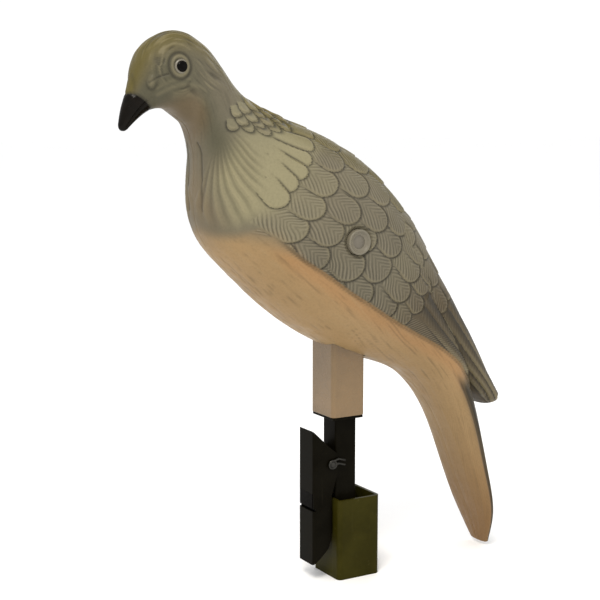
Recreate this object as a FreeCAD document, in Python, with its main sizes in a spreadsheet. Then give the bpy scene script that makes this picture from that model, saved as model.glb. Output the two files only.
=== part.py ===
"""Motion wing decoy: a hollow moulded dove on a leg post, on a clip-on peg held in a square pole.

Frame: +Z up, the bird faces -Y and its left side is +X, millimetres.
The origin is on the pole's axis at its lower end, and X = 0 is the bird's centre plane.
The two wings pull off the magnets of the hubs and aren't part of this assembly.
"""
import FreeCAD, Part

import math
import os
import re

import Sketcher

Vector = FreeCAD.Vector
Rotation = FreeCAD.Rotation
Placement = FreeCAD.Placement

SIZES = {
    # square pole, open at the top
    "pole_side": 25.4,
    "pole_wall": 1.6,
    "pole_height": 42.7,
    "pole_corner": 2.5,
    # peg: the square tube that stands in the pole and in the leg post
    "peg_side": 12.7,
    "peg_wall": 1.5,
    "peg_corner": 1.2,
    "peg_low": 12.0,
    "peg_top": 124.0,
    "peg_y": -4.6,
    "flange_low": 85.0,
    "flange_thick": 1.4,
    "flange_width": 20.4,
    "flange_depth": 18.2,
    # pivot of the spring clip
    "pivot_y": -13.9,
    "pivot_z": 61.5,
    "pin_radius": 1.5,
    "pin_reach": 9.0,
    "pin_seat": 7.6,
    "pin_head_radius": 2.7,
    "pin_head_thick": 1.2,
    "running_gap": 0.05,
    "bracket_half_height": 6.0,
    "bracket_sheet": 1.2,
    "bracket_width": 12.4,
    "bracket_nose": 3.2,
    # lever: a folded channel whose web faces forward
    "lever_width": 15.0,
    "lever_sheet": 1.0,
    "lever_face_y": -25.0,
    "lever_top": 80.0,
    "lever_low": 9.8,
    "lever_bend": 1.4,
    "slot_z": 38.2,
    "slot_height": 1.5,
    "band_height": 8.0,
    "band_depth": 0.4,
    "pad_low": 24.0,
    "pad_top": 37.0,
    # clamp spring
    "spring_wire": 0.55,
    "spring_coil_radius": 2.1,
    # leg post
    "post_width": 21.8,
    "post_depth": 19.6,
    "post_y": -5.8,
    "post_low": 86.5,
    "post_top": 136.0,
    "post_corner": 2.2,
    "socket_side": 13.1,
    "socket_top": 126.0,
    # shells of the dove
    "shell_wall": 2.2,
    "post_fit": 0.3,
    # wing drive
    "shaft_y": -17.7,
    "shaft_z": 179.6,
    "shaft_radius": 1.5,
    "shaft_half_length": 34.0,
    "hub_radius": 6.0,
    "hub_inner_x": 31.0,
    "hub_outer_x": 37.4,
    "hub_dish_radius": 4.4,
    "hub_dish_depth": 1.8,
    "hub_gap": 0.5,
    "magnet_radius": 3.4,
    # motor and its clamp
    "motor_radius": 12.0,
    "motor_half_length": 14.0,
    "motor_boss_radius": 4.5,
    "motor_boss_reach": 16.0,
    "motor_clamp_wall": 1.6,
    "motor_clamp_width": 16.0,
    "foot_thick": 2.5,
    "foot_front_y": -29.0,
    # battery box, turned to lie along the body
    "battery_y": 15.2,
    "battery_z": 148.2,
    "battery_slope": 45.0,
    "battery_width": 31.0,
    "battery_length": 56.0,
    "battery_height": 31.0,
    "battery_box_wall": 1.2,
    "cell_radius": 7.0,
    "cell_length": 49.2,
    "contact_thick": 0.4,
    # battery door in the right flank
    "door_length": 46.0,
    "door_height": 24.0,
    "door_gap": 0.35,
    "door_inner_x": 12.0,
    "door_screw_offset": 18.0,
    # switch in the right flank
    "switch_y": -40.0,
    "switch_z": 176.0,
    "switch_length": 20.0,
    "switch_height": 10.0,
    "switch_inner_x": 24.0,
    "switch_outer_x": 35.9,
    "knob_length": 6.0,
    "knob_height": 4.4,
    "knob_travel": 5.0,
    "knob_outer_x": 36.9,
    "recess_depth": 2.2,
    # screws
    "screw_radius": 1.4,
    "screw_head_radius": 2.8,
    "screw_head_thick": 2.0,
    "boss_radius": 4.6,
    "screw_seat_x": 8.0,
    "screw_tip_x": 9.0,
}

# Cross-sections of the dove from the beak's tip to the tail's tip:
# name, back (y, z), front (y, z), half width, place of the widest line from front to back, fullness
BODY_SECTIONS = [
    ("beak_tip", (-126.2, 234.2), (-123.0, 232.4), 1.6, 0.5, 2.0),
    ("beak_mid", (-124.2, 244.0), (-115.8, 239.2), 4.2, 0.5, 2.0),
    ("beak_base", (-121.0, 254.0), (-107.5, 243.5), 6.6, 0.5, 2.0),
    ("cere", (-119.5, 260.5), (-102.0, 243.0), 10.0, 0.5, 2.05),
    ("brow", (-115.0, 270.5), (-96.5, 239.5), 14.0, 0.52, 2.1),
    ("crown", (-98.0, 279.5), (-91.5, 235.0), 16.5, 0.52, 2.1),
    ("nape", (-80.0, 270.0), (-89.0, 228.0), 16.5, 0.5, 2.1),
    ("neck", (-66.5, 253.5), (-87.5, 217.0), 18.0, 0.45, 2.1),
    ("neck_low", (-50.5, 243.0), (-88.0, 203.0), 23.0, 0.42, 2.1),
    ("breast", (-27.0, 233.5), (-85.0, 183.5), 30.0, 0.45, 2.15),
    ("shoulder", (-3.0, 220.5), (-68.5, 163.5), 35.0, 0.48, 2.2),
    ("middle", (21.0, 198.5), (-45.5, 142.5), 36.5, 0.5, 2.2),
    ("belly", (38.5, 171.5), (-18.0, 125.0), 34.0, 0.5, 2.15),
    ("rump", (51.0, 144.0), (10.0, 114.0), 28.0, 0.5, 2.1),
    ("vent", (63.0, 118.0), (32.0, 105.0), 24.5, 0.52, 2.1),
    ("tail_root", (71.5, 95.0), (49.5, 88.5), 22.0, 0.55, 2.1),
    ("tail_cover", (77.5, 73.0), (61.5, 67.5), 20.0, 0.6, 2.3),
    ("tail_middle", (83.5, 47.0), (71.5, 43.0), 18.5, 0.65, 2.5),
    ("tail_end", (89.0, 22.0), (81.5, 19.5), 15.5, 0.65, 2.5),
    ("tail_tip", (91.0, 3.0), (88.0, 2.0), 7.5, 0.6, 2.3),
]

# The folded wing tips lie over the rump and stand off the tail at their end.
WING_SECTIONS = [
    ("wing_back", (-8.0, 218.0), (-30.0, 192.0), 24.0, 0.5, 2.1),
    ("wing_saddle", (21.5, 198.0), (-5.0, 167.0), 31.5, 0.5, 2.1),
    ("wing_loin", (40.5, 170.5), (15.0, 147.0), 29.0, 0.5, 2.1),
    ("wing_rump", (58.5, 143.5), (36.0, 125.0), 24.5, 0.5, 2.1),
    ("wing_cross", (74.5, 118.0), (57.0, 104.0), 20.0, 0.5, 2.1),
    ("wing_point", (87.5, 97.0), (74.0, 89.0), 15.5, 0.5, 2.1),
    ("wing_end", (95.5, 86.5), (85.5, 82.0), 11.0, 0.5, 2.1),
]

# The shells are hollow between these two sections; the beak and the tail are solid.
HOLLOW_FROM = "brow"
HOLLOW_TO = "tail_root"

# Screw bosses that join the two shells (y, z).
SHELL_SCREWS = [
    ("head", -97.0, 255.0),
    ("neck", -70.0, 212.0),
    ("back", 12.0, 190.0),
    ("breast", -52.0, 158.0),
    ("rump", 38.0, 119.0),
    ("tail", 69.0, 76.0),
]

RING_POINTS = 32

doc = FreeCAD.newDocument("MotionWingDecoy")
dims = doc.addObject("Spreadsheet::Sheet", "dims")


def fill_sheet():
    """Write every driving dimension to the sheet, one named cell per row."""
    rows = dict(SIZES)
    for name, back, front, half_width, widest, fullness in BODY_SECTIONS + WING_SECTIONS:
        rows[name + "_back_y"], rows[name + "_back_z"] = back
        rows[name + "_front_y"], rows[name + "_front_z"] = front
        rows[name + "_half_width"] = half_width
        rows[name + "_widest"] = widest
        rows[name + "_fullness"] = fullness
    for name, y, z in SHELL_SCREWS:
        rows[name + "_screw_y"] = y
        rows[name + "_screw_z"] = z
    for row, (alias, number) in enumerate(rows.items(), start=1):
        dims.set("A%d" % row, alias)
        dims.set("B%d" % row, str(number))
        dims.setAlias("B%d" % row, alias)
    doc.recompute()
    return rows


ALIASES = fill_sheet()


def bound(text):
    """Turn a formula of cell names into an expression that reads the sheet."""
    return re.sub(r"[a-z_]+", lambda found: "dims." + found.group() if found.group() in ALIASES else found.group(), text)


def size(name):
    """The number in one cell."""
    return float(dims.get(name))


def number(text):
    """The present value of a formula of cell names."""
    result = dims.evalExpression(bound(text).replace("dims.", ""))
    return float(result)


def place(item, x="0", y="0", z="0", turn=None):
    """Give an object its own placement, bound to the sheet."""
    if turn is not None:
        item.Placement = Placement(Vector(0, 0, 0), turn)
    for axis, formula in zip("xyz", (x, y, z)):
        if formula != "0":
            item.setExpression(".Placement.Base." + axis, bound(formula))


ALONG_X = Rotation(Vector(0, 1, 0), 90)
ALONG_BODY = Rotation(Vector(1, 0, 0), -SIZES["battery_slope"])


# ---------------------------------------------------------------- sketches and features

def new_body(label):
    body = doc.addObject("PartDesign::Body", label)
    body.Label = label
    return body


def new_sketch(body, role, name, offset="0"):
    """A sketch on one of the body's own origin planes."""
    sketch = body.newObject("Sketcher::SketchObject", name)
    plane = next(item for item in body.Origin.OriginFeatures if item.Role == role)
    sketch.AttachmentSupport = [(plane, "")]
    sketch.MapMode = "FlatFace"
    if offset != "0":
        sketch.setExpression(".AttachmentOffset.Base.z", bound(offset))
    return sketch


def pin_point(sketch, element, point, x, y):
    """Hold one point of the sketch at a place given by two formulas."""
    for kind, formula in (("DistanceX", x), ("DistanceY", y)):
        index = sketch.addConstraint(Sketcher.Constraint(kind, -1, 1, element, point, number(formula)))
        sketch.setExpression("Constraints[%d]" % index, bound(formula))


def draw_outline(sketch, corners):
    """A closed outline of straight lines through corners given as pairs of formulas."""
    points = [Vector(number(x), number(y), 0) for x, y in corners]
    first = sketch.GeometryCount
    count = len(points)
    for index, point in enumerate(points):
        sketch.addGeometry(Part.LineSegment(point, points[(index + 1) % count]))
    for index, corner in enumerate(corners):
        following = first + (index + 1) % count
        sketch.addConstraint(Sketcher.Constraint("Coincident", first + index, 2, following, 1))
        pin_point(sketch, first + index, 1, *corner)


def draw_rectangle(sketch, x, y, width, height):
    """A rectangle about the point (x, y)."""
    low_x, high_x = "%s - (%s)/2" % (x, width), "%s + (%s)/2" % (x, width)
    low_y, high_y = "%s - (%s)/2" % (y, height), "%s + (%s)/2" % (y, height)
    draw_outline(sketch, [(low_x, low_y), (high_x, low_y), (high_x, high_y), (low_x, high_y)])


def draw_circle(sketch, x, y, radius):
    circle = Part.Circle(Vector(number(x), number(y), 0), Vector(0, 0, 1), number(radius))
    element = sketch.addGeometry(circle)
    index = sketch.addConstraint(Sketcher.Constraint("Radius", element, number(radius)))
    sketch.setExpression("Constraints[%d]" % index, bound(radius))
    pin_point(sketch, element, 3, x, y)


def feature(body, kind, name, sketch, length=None, symmetric=False, reverse=False):
    """A Pad, Pocket or Revolution of one sketch."""
    item = body.newObject("PartDesign::" + kind, name)
    item.Profile = sketch
    if kind == "Revolution":
        item.ReferenceAxis = (sketch, ["V_Axis"])
        item.Angle = 360.0
        return item
    item.SideType = "Symmetric" if symmetric else "One side"
    item.Reversed = reverse
    item.setExpression("Length", bound(length))
    return item


def round_edges(body, name, radius, chosen):
    """Fillet the edges of the body's last feature that the test picks."""
    doc.recompute()
    base = body.Tip
    names = ["Edge%d" % (i + 1) for i, edge in enumerate(base.Shape.Edges) if chosen(edge)]
    item = body.newObject("PartDesign::Fillet", name)
    item.Base = (base, names)
    item.setExpression("Radius", bound(radius))
    return item


def is_upright(edge):
    """True for a straight edge along the local Z."""
    box = edge.BoundBox
    return box.XLength < 0.01 and box.YLength < 0.01 and box.ZLength > 1


def square_tube(label, side, wall, corner, low, top):
    """A square tube with rounded corners and an open bore."""
    body = new_body(label)
    outer = new_sketch(body, "XY_Plane", label + "_outline", low)
    draw_rectangle(outer, "0", "0", side, side)
    feature(body, "Pad", label + "_pad", outer, "%s - %s" % (top, low))
    round_edges(body, label + "_corners", corner, is_upright)
    bore = new_sketch(body, "XY_Plane", label + "_bore", top)
    inner = "%s - 2*%s" % (side, wall)
    draw_rectangle(bore, "0", "0", inner, inner)
    feature(body, "Pocket", label + "_pocket", bore, "%s - %s" % (top, low))
    return body


# ---------------------------------------------------------------- pole, peg and flange

def build_pole_tube():
    return square_tube("pole_tube", "pole_side", "pole_wall", "pole_corner", "0", "pole_height")


def build_peg_tube():
    body = square_tube("peg_tube", "peg_side", "peg_wall", "peg_corner", "peg_low", "peg_top")
    place(body, y="peg_y")
    return body


def build_peg_flange():
    """Thin plate on the peg that the leg post rests on."""
    body = new_body("peg_flange")
    sketch = new_sketch(body, "XY_Plane", "flange_outline", "flange_low")
    draw_rectangle(sketch, "0", "0", "flange_width", "flange_depth")
    draw_rectangle(sketch, "0", "peg_y - post_y", "peg_side", "peg_side")
    feature(body, "Pad", "flange_pad", sketch, "flange_thick")
    place(body, y="post_y")
    return body


# ---------------------------------------------------------------- spring clip

def build_pivot_bracket():
    """Two ears and a web on the peg's front face that carry the pivot pin."""
    body = new_body("pivot_bracket")
    side = new_sketch(body, "YZ_Plane", "bracket_side")
    front = "peg_y - peg_side/2"
    nose = "pivot_y - bracket_nose"
    draw_outline(side, [
        (front, "pivot_z - bracket_half_height"),
        (front, "pivot_z + bracket_half_height"),
        ("pivot_y", "pivot_z + bracket_nose"),
        (nose, "pivot_z + bracket_nose/2"),
        (nose, "pivot_z - bracket_nose/2"),
        ("pivot_y", "pivot_z - bracket_nose"),
    ])
    feature(body, "Pad", "bracket_pad", side, "bracket_width", symmetric=True)
    gap = new_sketch(body, "XY_Plane", "bracket_gap", "pivot_z + bracket_half_height")
    draw_rectangle(gap, "0", "peg_y - peg_side/2 - bracket_sheet - 5", "bracket_width - 2*bracket_sheet", "10")
    feature(body, "Pocket", "bracket_between_ears", gap, "2*bracket_half_height")
    coil_room = new_sketch(body, "YZ_Plane", "bracket_coil_room")
    draw_circle(coil_room, "pivot_y", "pivot_z", "spring_coil_radius + 2*spring_wire")
    feature(body, "Pocket", "bracket_coil_cut", coil_room, "bracket_width - 2*bracket_sheet", symmetric=True)
    hole = new_sketch(body, "YZ_Plane", "bracket_hole")
    draw_circle(hole, "pivot_y", "pivot_z", "pin_radius + running_gap")
    feature(body, "Pocket", "bracket_pin_hole", hole, "bracket_width + 2", symmetric=True)
    return body


def build_pivot_pin():
    """Pin through the lever and the ears, with a round head at its right end."""
    body = new_body("pivot_pin")
    sketch = new_sketch(body, "XZ_Plane", "pin_profile")
    draw_outline(sketch, [
        ("0", "-pin_seat - pin_head_thick"),
        ("pin_head_radius", "-pin_seat - pin_head_thick"),
        ("pin_head_radius", "-pin_seat"),
        ("pin_radius", "-pin_seat"),
        ("pin_radius", "pin_reach"),
        ("0", "pin_reach"),
    ])
    feature(body, "Revolution", "pin_turned", sketch)
    place(body, y="pivot_y", z="pivot_z", turn=ALONG_X)
    return body


def wire_path(points, radius):
    """A round wire along straight runs, with a ball at each corner."""
    solids = []
    for start, end in zip(points, points[1:]):
        solids.append(Part.makeCylinder(radius, start.distanceToPoint(end), start, end - start))
    for point in points[1:-1]:
        solids.append(Part.makeSphere(radius, point))
    return solids[0].fuse(solids[1:]).removeSplitter() if len(solids) > 1 else solids[0]


def shape_part(label, shape):
    """A plain feature for a sub-part whose shape is worked out from the sheet."""
    item = doc.addObject("Part::Feature", label)
    item.Label = label
    item.Shape = shape
    item.Placement = shape.Placement
    return item


def build_pin_retainer():
    """Spring clip on the pin's left end: a ring with two legs that lie back along the peg."""
    wire = size("spring_wire")
    ring_radius = size("pin_radius") + wire + 0.02
    x = size("pin_reach") - wire
    pivot = Vector(x, size("pivot_y"), size("pivot_z"))
    shape = Part.makeTorus(ring_radius, wire, pivot, Vector(1, 0, 0))
    for angle, rise in ((70.0, 0.8), (-5.0, 0.5)):
        turn = math.radians(angle)
        start = pivot + Vector(0, math.cos(turn), math.sin(turn)) * ring_radius
        bend = Vector(x, pivot.y + 3.4, start.z + rise)
        end = Vector(x, pivot.y + 7.4, start.z + rise - 1.2)
        shape = shape.fuse(wire_path([start, bend, end], wire))
    return shape_part("pin_retainer", shape)


def build_clamp_spring():
    """Torsion spring round the pin between the ears; its legs press on the peg and on the web."""
    wire = size("spring_wire")
    coil_radius = size("spring_coil_radius")
    turns = 6
    half = turns * (2 * wire + 0.1) / 2
    pivot = Vector(0, size("pivot_y"), size("pivot_z"))
    coils = []
    for index in range(turns):
        x = -half + (index + 0.5) * 2 * half / turns
        coils.append(Part.makeTorus(coil_radius, wire, pivot + Vector(x, 0, 0), Vector(1, 0, 0)))
    web_inner = size("lever_face_y") + size("lever_sheet") + wire + 0.1
    legs = []
    for side in (-1, 1):
        x = side * (half + wire + 0.15)
        start = pivot + Vector(x, 0, coil_radius)
        bend = Vector(x, web_inner, pivot.z + 9)
        legs.append(wire_path([start, bend, bend + Vector(0, 0, 4)], wire))
        legs.append(Part.makeTorus(coil_radius, wire, pivot + Vector(x, 0, 0), Vector(1, 0, 0)))
    shape = coils[0].fuse(coils[1:] + legs)
    return shape_part("clamp_spring", shape)


def lever_side(inset):
    """Side outline of the lever, set in from its web and its ends by the inset."""
    face = "lever_face_y + %s" % inset
    return [
        (face, "lever_low - 1 + %s" % inset),
        ("lever_face_y + 3.8", "lever_low + 1.6"),
        ("lever_face_y + 7.2", "lever_low + 4.7"),
        ("lever_face_y + 9.6", "lever_low + 7.0"),
        ("lever_face_y + 11.0", "lever_low + 12.0"),
        ("lever_face_y + 11.0", "pole_height + 1.5"),
        ("pivot_y + 3.6", "pivot_z - 5"),
        ("pivot_y + 3.6", "pivot_z + 5"),
        ("pivot_y + 2.1", "pivot_z + 6.3"),
        ("pivot_y - 1.8", "pivot_z + 9.4"),
        ("lever_face_y + 4.7", "lever_top - 4.5"),
        (face, "lever_top - %s" % inset),
    ]


def build_clip_lever():
    """Folded steel channel: the web faces forward and both side walls carry the pin."""
    body = new_body("clip_lever")
    side = new_sketch(body, "YZ_Plane", "lever_side")
    draw_outline(side, lever_side("0"))
    feature(body, "Pad", "lever_pad", side, "lever_width", symmetric=True)

    def is_web_corner(edge):
        box = edge.BoundBox
        on_face = abs(box.YMin - size("lever_face_y")) < 0.01 and box.YLength < 0.01
        return on_face and box.XLength < 0.01

    round_edges(body, "lever_bends", "lever_bend", is_web_corner)
    inside = new_sketch(body, "YZ_Plane", "lever_inside")
    web_inner = "lever_face_y + lever_sheet"
    draw_outline(inside, [
        (web_inner, "lever_low - 5"),
        ("pivot_y + 10", "lever_low - 5"),
        ("pivot_y + 10", "lever_top + 5"),
        (web_inner, "lever_top + 5"),
    ])
    feature(body, "Pocket", "lever_channel", inside, "lever_width - 2*lever_sheet", symmetric=True)
    hole = new_sketch(body, "YZ_Plane", "lever_hole")
    draw_circle(hole, "pivot_y", "pivot_z", "pin_radius + running_gap")
    feature(body, "Pocket", "lever_pin_hole", hole, "lever_width + 2", symmetric=True)
    slot = new_sketch(body, "YZ_Plane", "lever_slot")
    draw_rectangle(slot, "lever_face_y", "slot_z", "2*lever_sheet + 1", "slot_height")
    feature(body, "Pocket", "lever_web_slot", slot, "lever_width + 2", symmetric=True)
    band = new_sketch(body, "YZ_Plane", "lever_band")
    draw_rectangle(band, "lever_face_y", "slot_z + slot_height/2 + band_height/2", "2*band_depth", "band_height")
    feature(body, "Pocket", "lever_band_recess", band, "lever_width + 2", symmetric=True)
    return body


def build_jaw_pad():
    """Rubber block inside the channel that bears on the pole's front wall."""
    body = new_body("jaw_pad")
    side = new_sketch(body, "YZ_Plane", "pad_side")
    web_inner = "lever_face_y + lever_sheet"
    draw_outline(side, [
        (web_inner, "pad_low"),
        ("-pole_side/2 - 0.1", "pad_low"),
        ("-pole_side/2 - 0.1", "pad_top - 1"),
        ("-pole_side/2 - 1.1", "pad_top"),
        (web_inner, "pad_top"),
    ])
    feature(body, "Pad", "pad_block", side, "lever_width - 2*lever_sheet", symmetric=True)
    return body


def build_pad_band():
    """Rubber band let into the web's front face above the slot."""
    body = new_body("pad_band")
    side = new_sketch(body, "YZ_Plane", "band_side")
    middle = "slot_z + slot_height/2 + band_height/2"
    draw_rectangle(side, "lever_face_y + band_depth/2", middle, "band_depth", "band_height")
    feature(body, "Pad", "band_strip", side, "lever_width - 2*lever_bend", symmetric=True)
    return body


# ---------------------------------------------------------------- leg post

def build_leg_post():
    """Square leg with a blind socket for the peg and a head inside the body."""
    body = new_body("leg_post")
    outline = new_sketch(body, "XY_Plane", "post_outline", "post_low")
    draw_rectangle(outline, "0", "0", "post_width", "post_depth")
    feature(body, "Pad", "post_pad", outline, "post_top - post_low")
    round_edges(body, "post_corners", "post_corner", is_upright)
    socket = new_sketch(body, "XY_Plane", "post_socket", "socket_top")
    draw_rectangle(socket, "0", "peg_y - post_y", "socket_side", "socket_side")
    feature(body, "Pocket", "post_socket_cut", socket, "socket_top - post_low")
    place(body, y="post_y")
    return body


# ---------------------------------------------------------------- shells

def section_points(name, inset=0.0):
    """Points of one cross-section: a full, rounded ring from the back round to the back."""
    back = Vector(0, size(name + "_back_y"), size(name + "_back_z"))
    front = Vector(0, size(name + "_front_y"), size(name + "_front_z"))
    across = (back - front).normalize() * inset
    back, front = back - across, front + across
    half_width = size(name + "_half_width") - inset
    widest = size(name + "_widest")
    power = 2.0 / size(name + "_fullness")
    points = []
    for index in range(RING_POINTS + 1):
        angle = 2 * math.pi * (index % RING_POINTS) / RING_POINTS
        sine, cosine = math.sin(angle), math.cos(angle)
        across_part = math.copysign(abs(sine) ** power, sine) * half_width
        along_part = math.copysign(abs(cosine) ** power, cosine)
        reach = 1 - widest if along_part > 0 else widest
        point = front + (back - front) * (widest + reach * along_part)
        points.append(Vector(across_part, point.y, point.z))
    return points


def loft_of(sections, inset=0.0):
    """A smooth solid through the named cross-sections, with flat ends."""
    grid = [section_points(name, inset) for name in sections]
    surface = Part.BSplineSurface()
    surface.interpolate(grid)
    skin = surface.toShape()
    ends = []
    for edge in (surface.uIso(surface.bounds()[0]), surface.uIso(surface.bounds()[1])):
        ends.append(Part.Face(Part.Wire([edge.toShape()])))
    shell = Part.makeShell([skin] + ends)
    shell.sewShape()
    return Part.makeSolid(shell)


def turned_block(x_low, x_high, y, z, length, height):
    """A block along X whose sides lie along the sloping body, about (y, z)."""
    block = Part.makeBox(x_high - x_low, length, height, Vector(x_low, -length / 2, -height / 2))
    block.Placement = Placement(Vector(0, y, z), ALONG_BODY)
    return block


def along_x(radius, x_low, x_high, y, z):
    return Part.makeCylinder(radius, x_high - x_low, Vector(x_low, y, z), Vector(1, 0, 0))


def door_block(gap, outer=60.0):
    return turned_block(-outer, -size("door_inner_x"), size("battery_y"), size("battery_z"),
                        size("door_length") + 2 * gap, size("door_height") + 2 * gap)


def switch_block(gap, outer=60.0):
    return turned_block(-outer, -size("switch_inner_x"), size("switch_y"), size("switch_z"),
                        size("switch_length") + 2 * gap, size("switch_height") + 2 * gap)


def dove_solids():
    """The dove's outer solid and the solid of its hollow."""
    body_names = [section[0] for section in BODY_SECTIONS]
    wing_names = [section[0] for section in WING_SECTIONS]
    outer = loft_of(body_names).fuse(loft_of(wing_names)).removeSplitter()
    hollow_names = body_names[body_names.index(HOLLOW_FROM):body_names.index(HOLLOW_TO) + 1]
    return outer, loft_of(hollow_names, size("shell_wall"))


def post_block():
    """The leg post with its fit all round, for the cut-out in the belly."""
    gap = size("post_fit")
    width, depth = size("post_width") + 2 * gap, size("post_depth") + 2 * gap
    corner = Vector(-width / 2, size("post_y") - depth / 2, size("post_low"))
    return Part.makeBox(width, depth, size("post_top") - size("post_low"), corner)


def build_shells(outer, hollow):
    """Left and right half shells with their screw bosses, and the door cut from the right one."""
    skin = outer.cut(hollow)
    holes = along_x(size("hub_radius") + size("hub_gap"), -60, 60, size("shaft_y"), size("shaft_z"))
    skin = skin.cut(holes).cut(post_block())
    halves = {}
    for side, x_low in (("left", 0.0), ("right", -60.0)):
        half_space = Part.makeBox(60.0, 300.0, 320.0, Vector(x_low, -150.0, -10.0))
        bosses = []
        for name, _, _ in SHELL_SCREWS:
            y, z = size(name + "_screw_y"), size(name + "_screw_z")
            bosses.append(along_x(size("boss_radius"), -40, 40, y, z).common(outer))
        half = skin.fuse(bosses).common(half_space)
        for name, _, _ in SHELL_SCREWS:
            y, z = size(name + "_screw_y"), size(name + "_screw_z")
            half = half.cut(along_x(size("screw_radius") + 0.05, -size("screw_seat_x") - 1, size("screw_tip_x"), y, z))
            if side == "right":
                half = half.cut(along_x(size("screw_head_radius") + 0.3, -60, -size("screw_seat_x"), y, z))
        halves[side] = half
    door = halves["right"].common(door_block(0.0))
    halves["right"] = halves["right"].cut(door_block(size("door_gap"))).cut(switch_block(0.15))
    screw_y, screw_z = door_screw_place()
    door = door.cut(along_x(size("screw_radius") + 0.1, -60, 0, screw_y, screw_z))
    shape_part("left_body_shell", halves["left"])
    shape_part("right_body_shell", halves["right"])
    shape_part("battery_door", door)
    return door


def door_screw_place():
    """Where the door's screw stands (y, z), near the door's upper end."""
    slope = math.radians(size("battery_slope"))
    offset = size("door_screw_offset")
    return size("battery_y") - offset * math.cos(slope), size("battery_z") + offset * math.sin(slope)


def build_door_screw(door):
    """Screw with a round head on the door's outer face."""
    y, z = door_screw_place()
    probe = door.common(along_x(size("screw_head_radius"), -60, 0, y, z))
    outer_x = probe.BoundBox.XMin
    head = along_x(size("screw_head_radius"), outer_x - 0.9, outer_x + 0.1, y, z)
    shank = along_x(size("screw_radius"), outer_x, outer_x + 9.0, y, z)
    return shape_part("door_screw", head.fuse(shank).removeSplitter())


def build_shell_screws():
    """The screws that hold the two shells together, entered from the right."""
    screws = []
    for name, _, _ in SHELL_SCREWS:
        y, z = size(name + "_screw_y"), size(name + "_screw_z")
        seat = -size("screw_seat_x")
        head = along_x(size("screw_head_radius"), seat - size("screw_head_thick"), seat, y, z)
        shank = along_x(size("screw_radius"), seat, size("screw_tip_x") - 0.5, y, z)
        screws.append(head.fuse(shank).removeSplitter())
    return shape_part("shell_screws", Part.makeCompound(screws))


# ---------------------------------------------------------------- wing drive

def build_wing_shaft():
    shaft = doc.addObject("Part::Cylinder", "wing_shaft")
    shaft.Label = "wing_shaft"
    shaft.setExpression("Radius", bound("shaft_radius"))
    shaft.setExpression("Height", bound("2*shaft_half_length"))
    place(shaft, x="-shaft_half_length", y="shaft_y", z="shaft_z", turn=ALONG_X)
    return shaft


def build_wing_hub(label, turn):
    """Round hub on the shaft's end, with a dished face that takes the wing's stub."""
    body = new_body(label)
    sketch = new_sketch(body, "XZ_Plane", label + "_profile")
    floor = "hub_outer_x - hub_dish_depth"
    draw_outline(sketch, [
        ("shaft_radius", "hub_inner_x - 3"),
        ("3.2", "hub_inner_x - 3"),
        ("3.2", "hub_inner_x"),
        ("hub_radius", "hub_inner_x"),
        ("hub_radius", "hub_outer_x - 0.6"),
        ("hub_radius - 0.6", "hub_outer_x"),
        ("hub_dish_radius", "hub_outer_x"),
        ("hub_dish_radius", floor),
        ("magnet_radius", floor),
        ("magnet_radius", "shaft_half_length"),
        ("shaft_radius", "shaft_half_length"),
    ])
    feature(body, "Revolution", label + "_turned", sketch)
    place(body, y="shaft_y", z="shaft_z", turn=turn)
    return body


def build_hub_magnet(label, turn):
    """Disc magnet at the bottom of the dish."""
    magnet = doc.addObject("Part::Cylinder", label)
    magnet.Label = label
    magnet.setExpression("Radius", bound("magnet_radius"))
    magnet.setExpression("Height", bound("hub_outer_x - hub_dish_depth - shaft_half_length"))
    start = "shaft_half_length" if turn is ALONG_X else "-shaft_half_length"
    place(magnet, x=start, y="shaft_y", z="shaft_z", turn=turn)
    return magnet


def build_motor_can():
    """Motor with a boss at each end and a bore for the through shaft."""
    body = new_body("motor_can")
    sketch = new_sketch(body, "XZ_Plane", "motor_profile")
    bore = "shaft_radius + running_gap"
    draw_outline(sketch, [
        (bore, "-motor_boss_reach"),
        ("motor_boss_radius", "-motor_boss_reach"),
        ("motor_boss_radius", "-motor_half_length"),
        ("motor_radius - 1", "-motor_half_length"),
        ("motor_radius", "-motor_half_length + 1"),
        ("motor_radius", "motor_half_length - 1"),
        ("motor_radius - 1", "motor_half_length"),
        ("motor_boss_radius", "motor_half_length"),
        ("motor_boss_radius", "motor_boss_reach"),
        (bore, "motor_boss_reach"),
    ])
    feature(body, "Revolution", "motor_turned", sketch)
    place(body, y="shaft_y", z="shaft_z", turn=ALONG_X)
    return body


def build_motor_clamp():
    """Ring round the motor on an upright and a foot that is screwed to the post's head."""
    half = size("motor_clamp_width") / 2
    inner = size("motor_radius") + 0.05
    wall = size("motor_clamp_wall")
    y, z = size("shaft_y"), size("shaft_z")
    foot_z = size("post_top")
    thick = size("foot_thick")
    front = size("foot_front_y")
    width = size("motor_clamp_width")
    foot = Part.makeBox(width, size("post_y") + 6 - front, thick, Vector(-half, front, foot_z))
    upright = Part.makeBox(width, thick, z - foot_z, Vector(-half, front, foot_z))
    ring = along_x(inner + wall, -half, half, y, z)
    shape = foot.fuse([upright, ring]).cut(along_x(inner, -half - 1, half + 1, y, z)).removeSplitter()
    for x, screw_y in clamp_screw_places():
        shape = shape.cut(Part.makeCylinder(1.1, thick + 2, Vector(x, screw_y, foot_z - 1)))
    return shape_part("motor_clamp", shape)


def clamp_screw_places():
    """The two screws of the motor clamp, in the solid head of the post (x, y)."""
    return [(side * 4.5, size("post_y") + 2.0) for side in (-1, 1)]


def build_clamp_screws():
    screws = []
    top = size("post_top") + size("foot_thick")
    for x, y in clamp_screw_places():
        head = Part.makeCylinder(2.0, 1.4, Vector(x, y, top))
        shank = Part.makeCylinder(1.0, size("foot_thick"), Vector(x, y, size("post_top")))
        screws.append(head.fuse(shank).removeSplitter())
    return shape_part("clamp_screws", Part.makeCompound(screws))


# ---------------------------------------------------------------- battery, switch and wires

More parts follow.
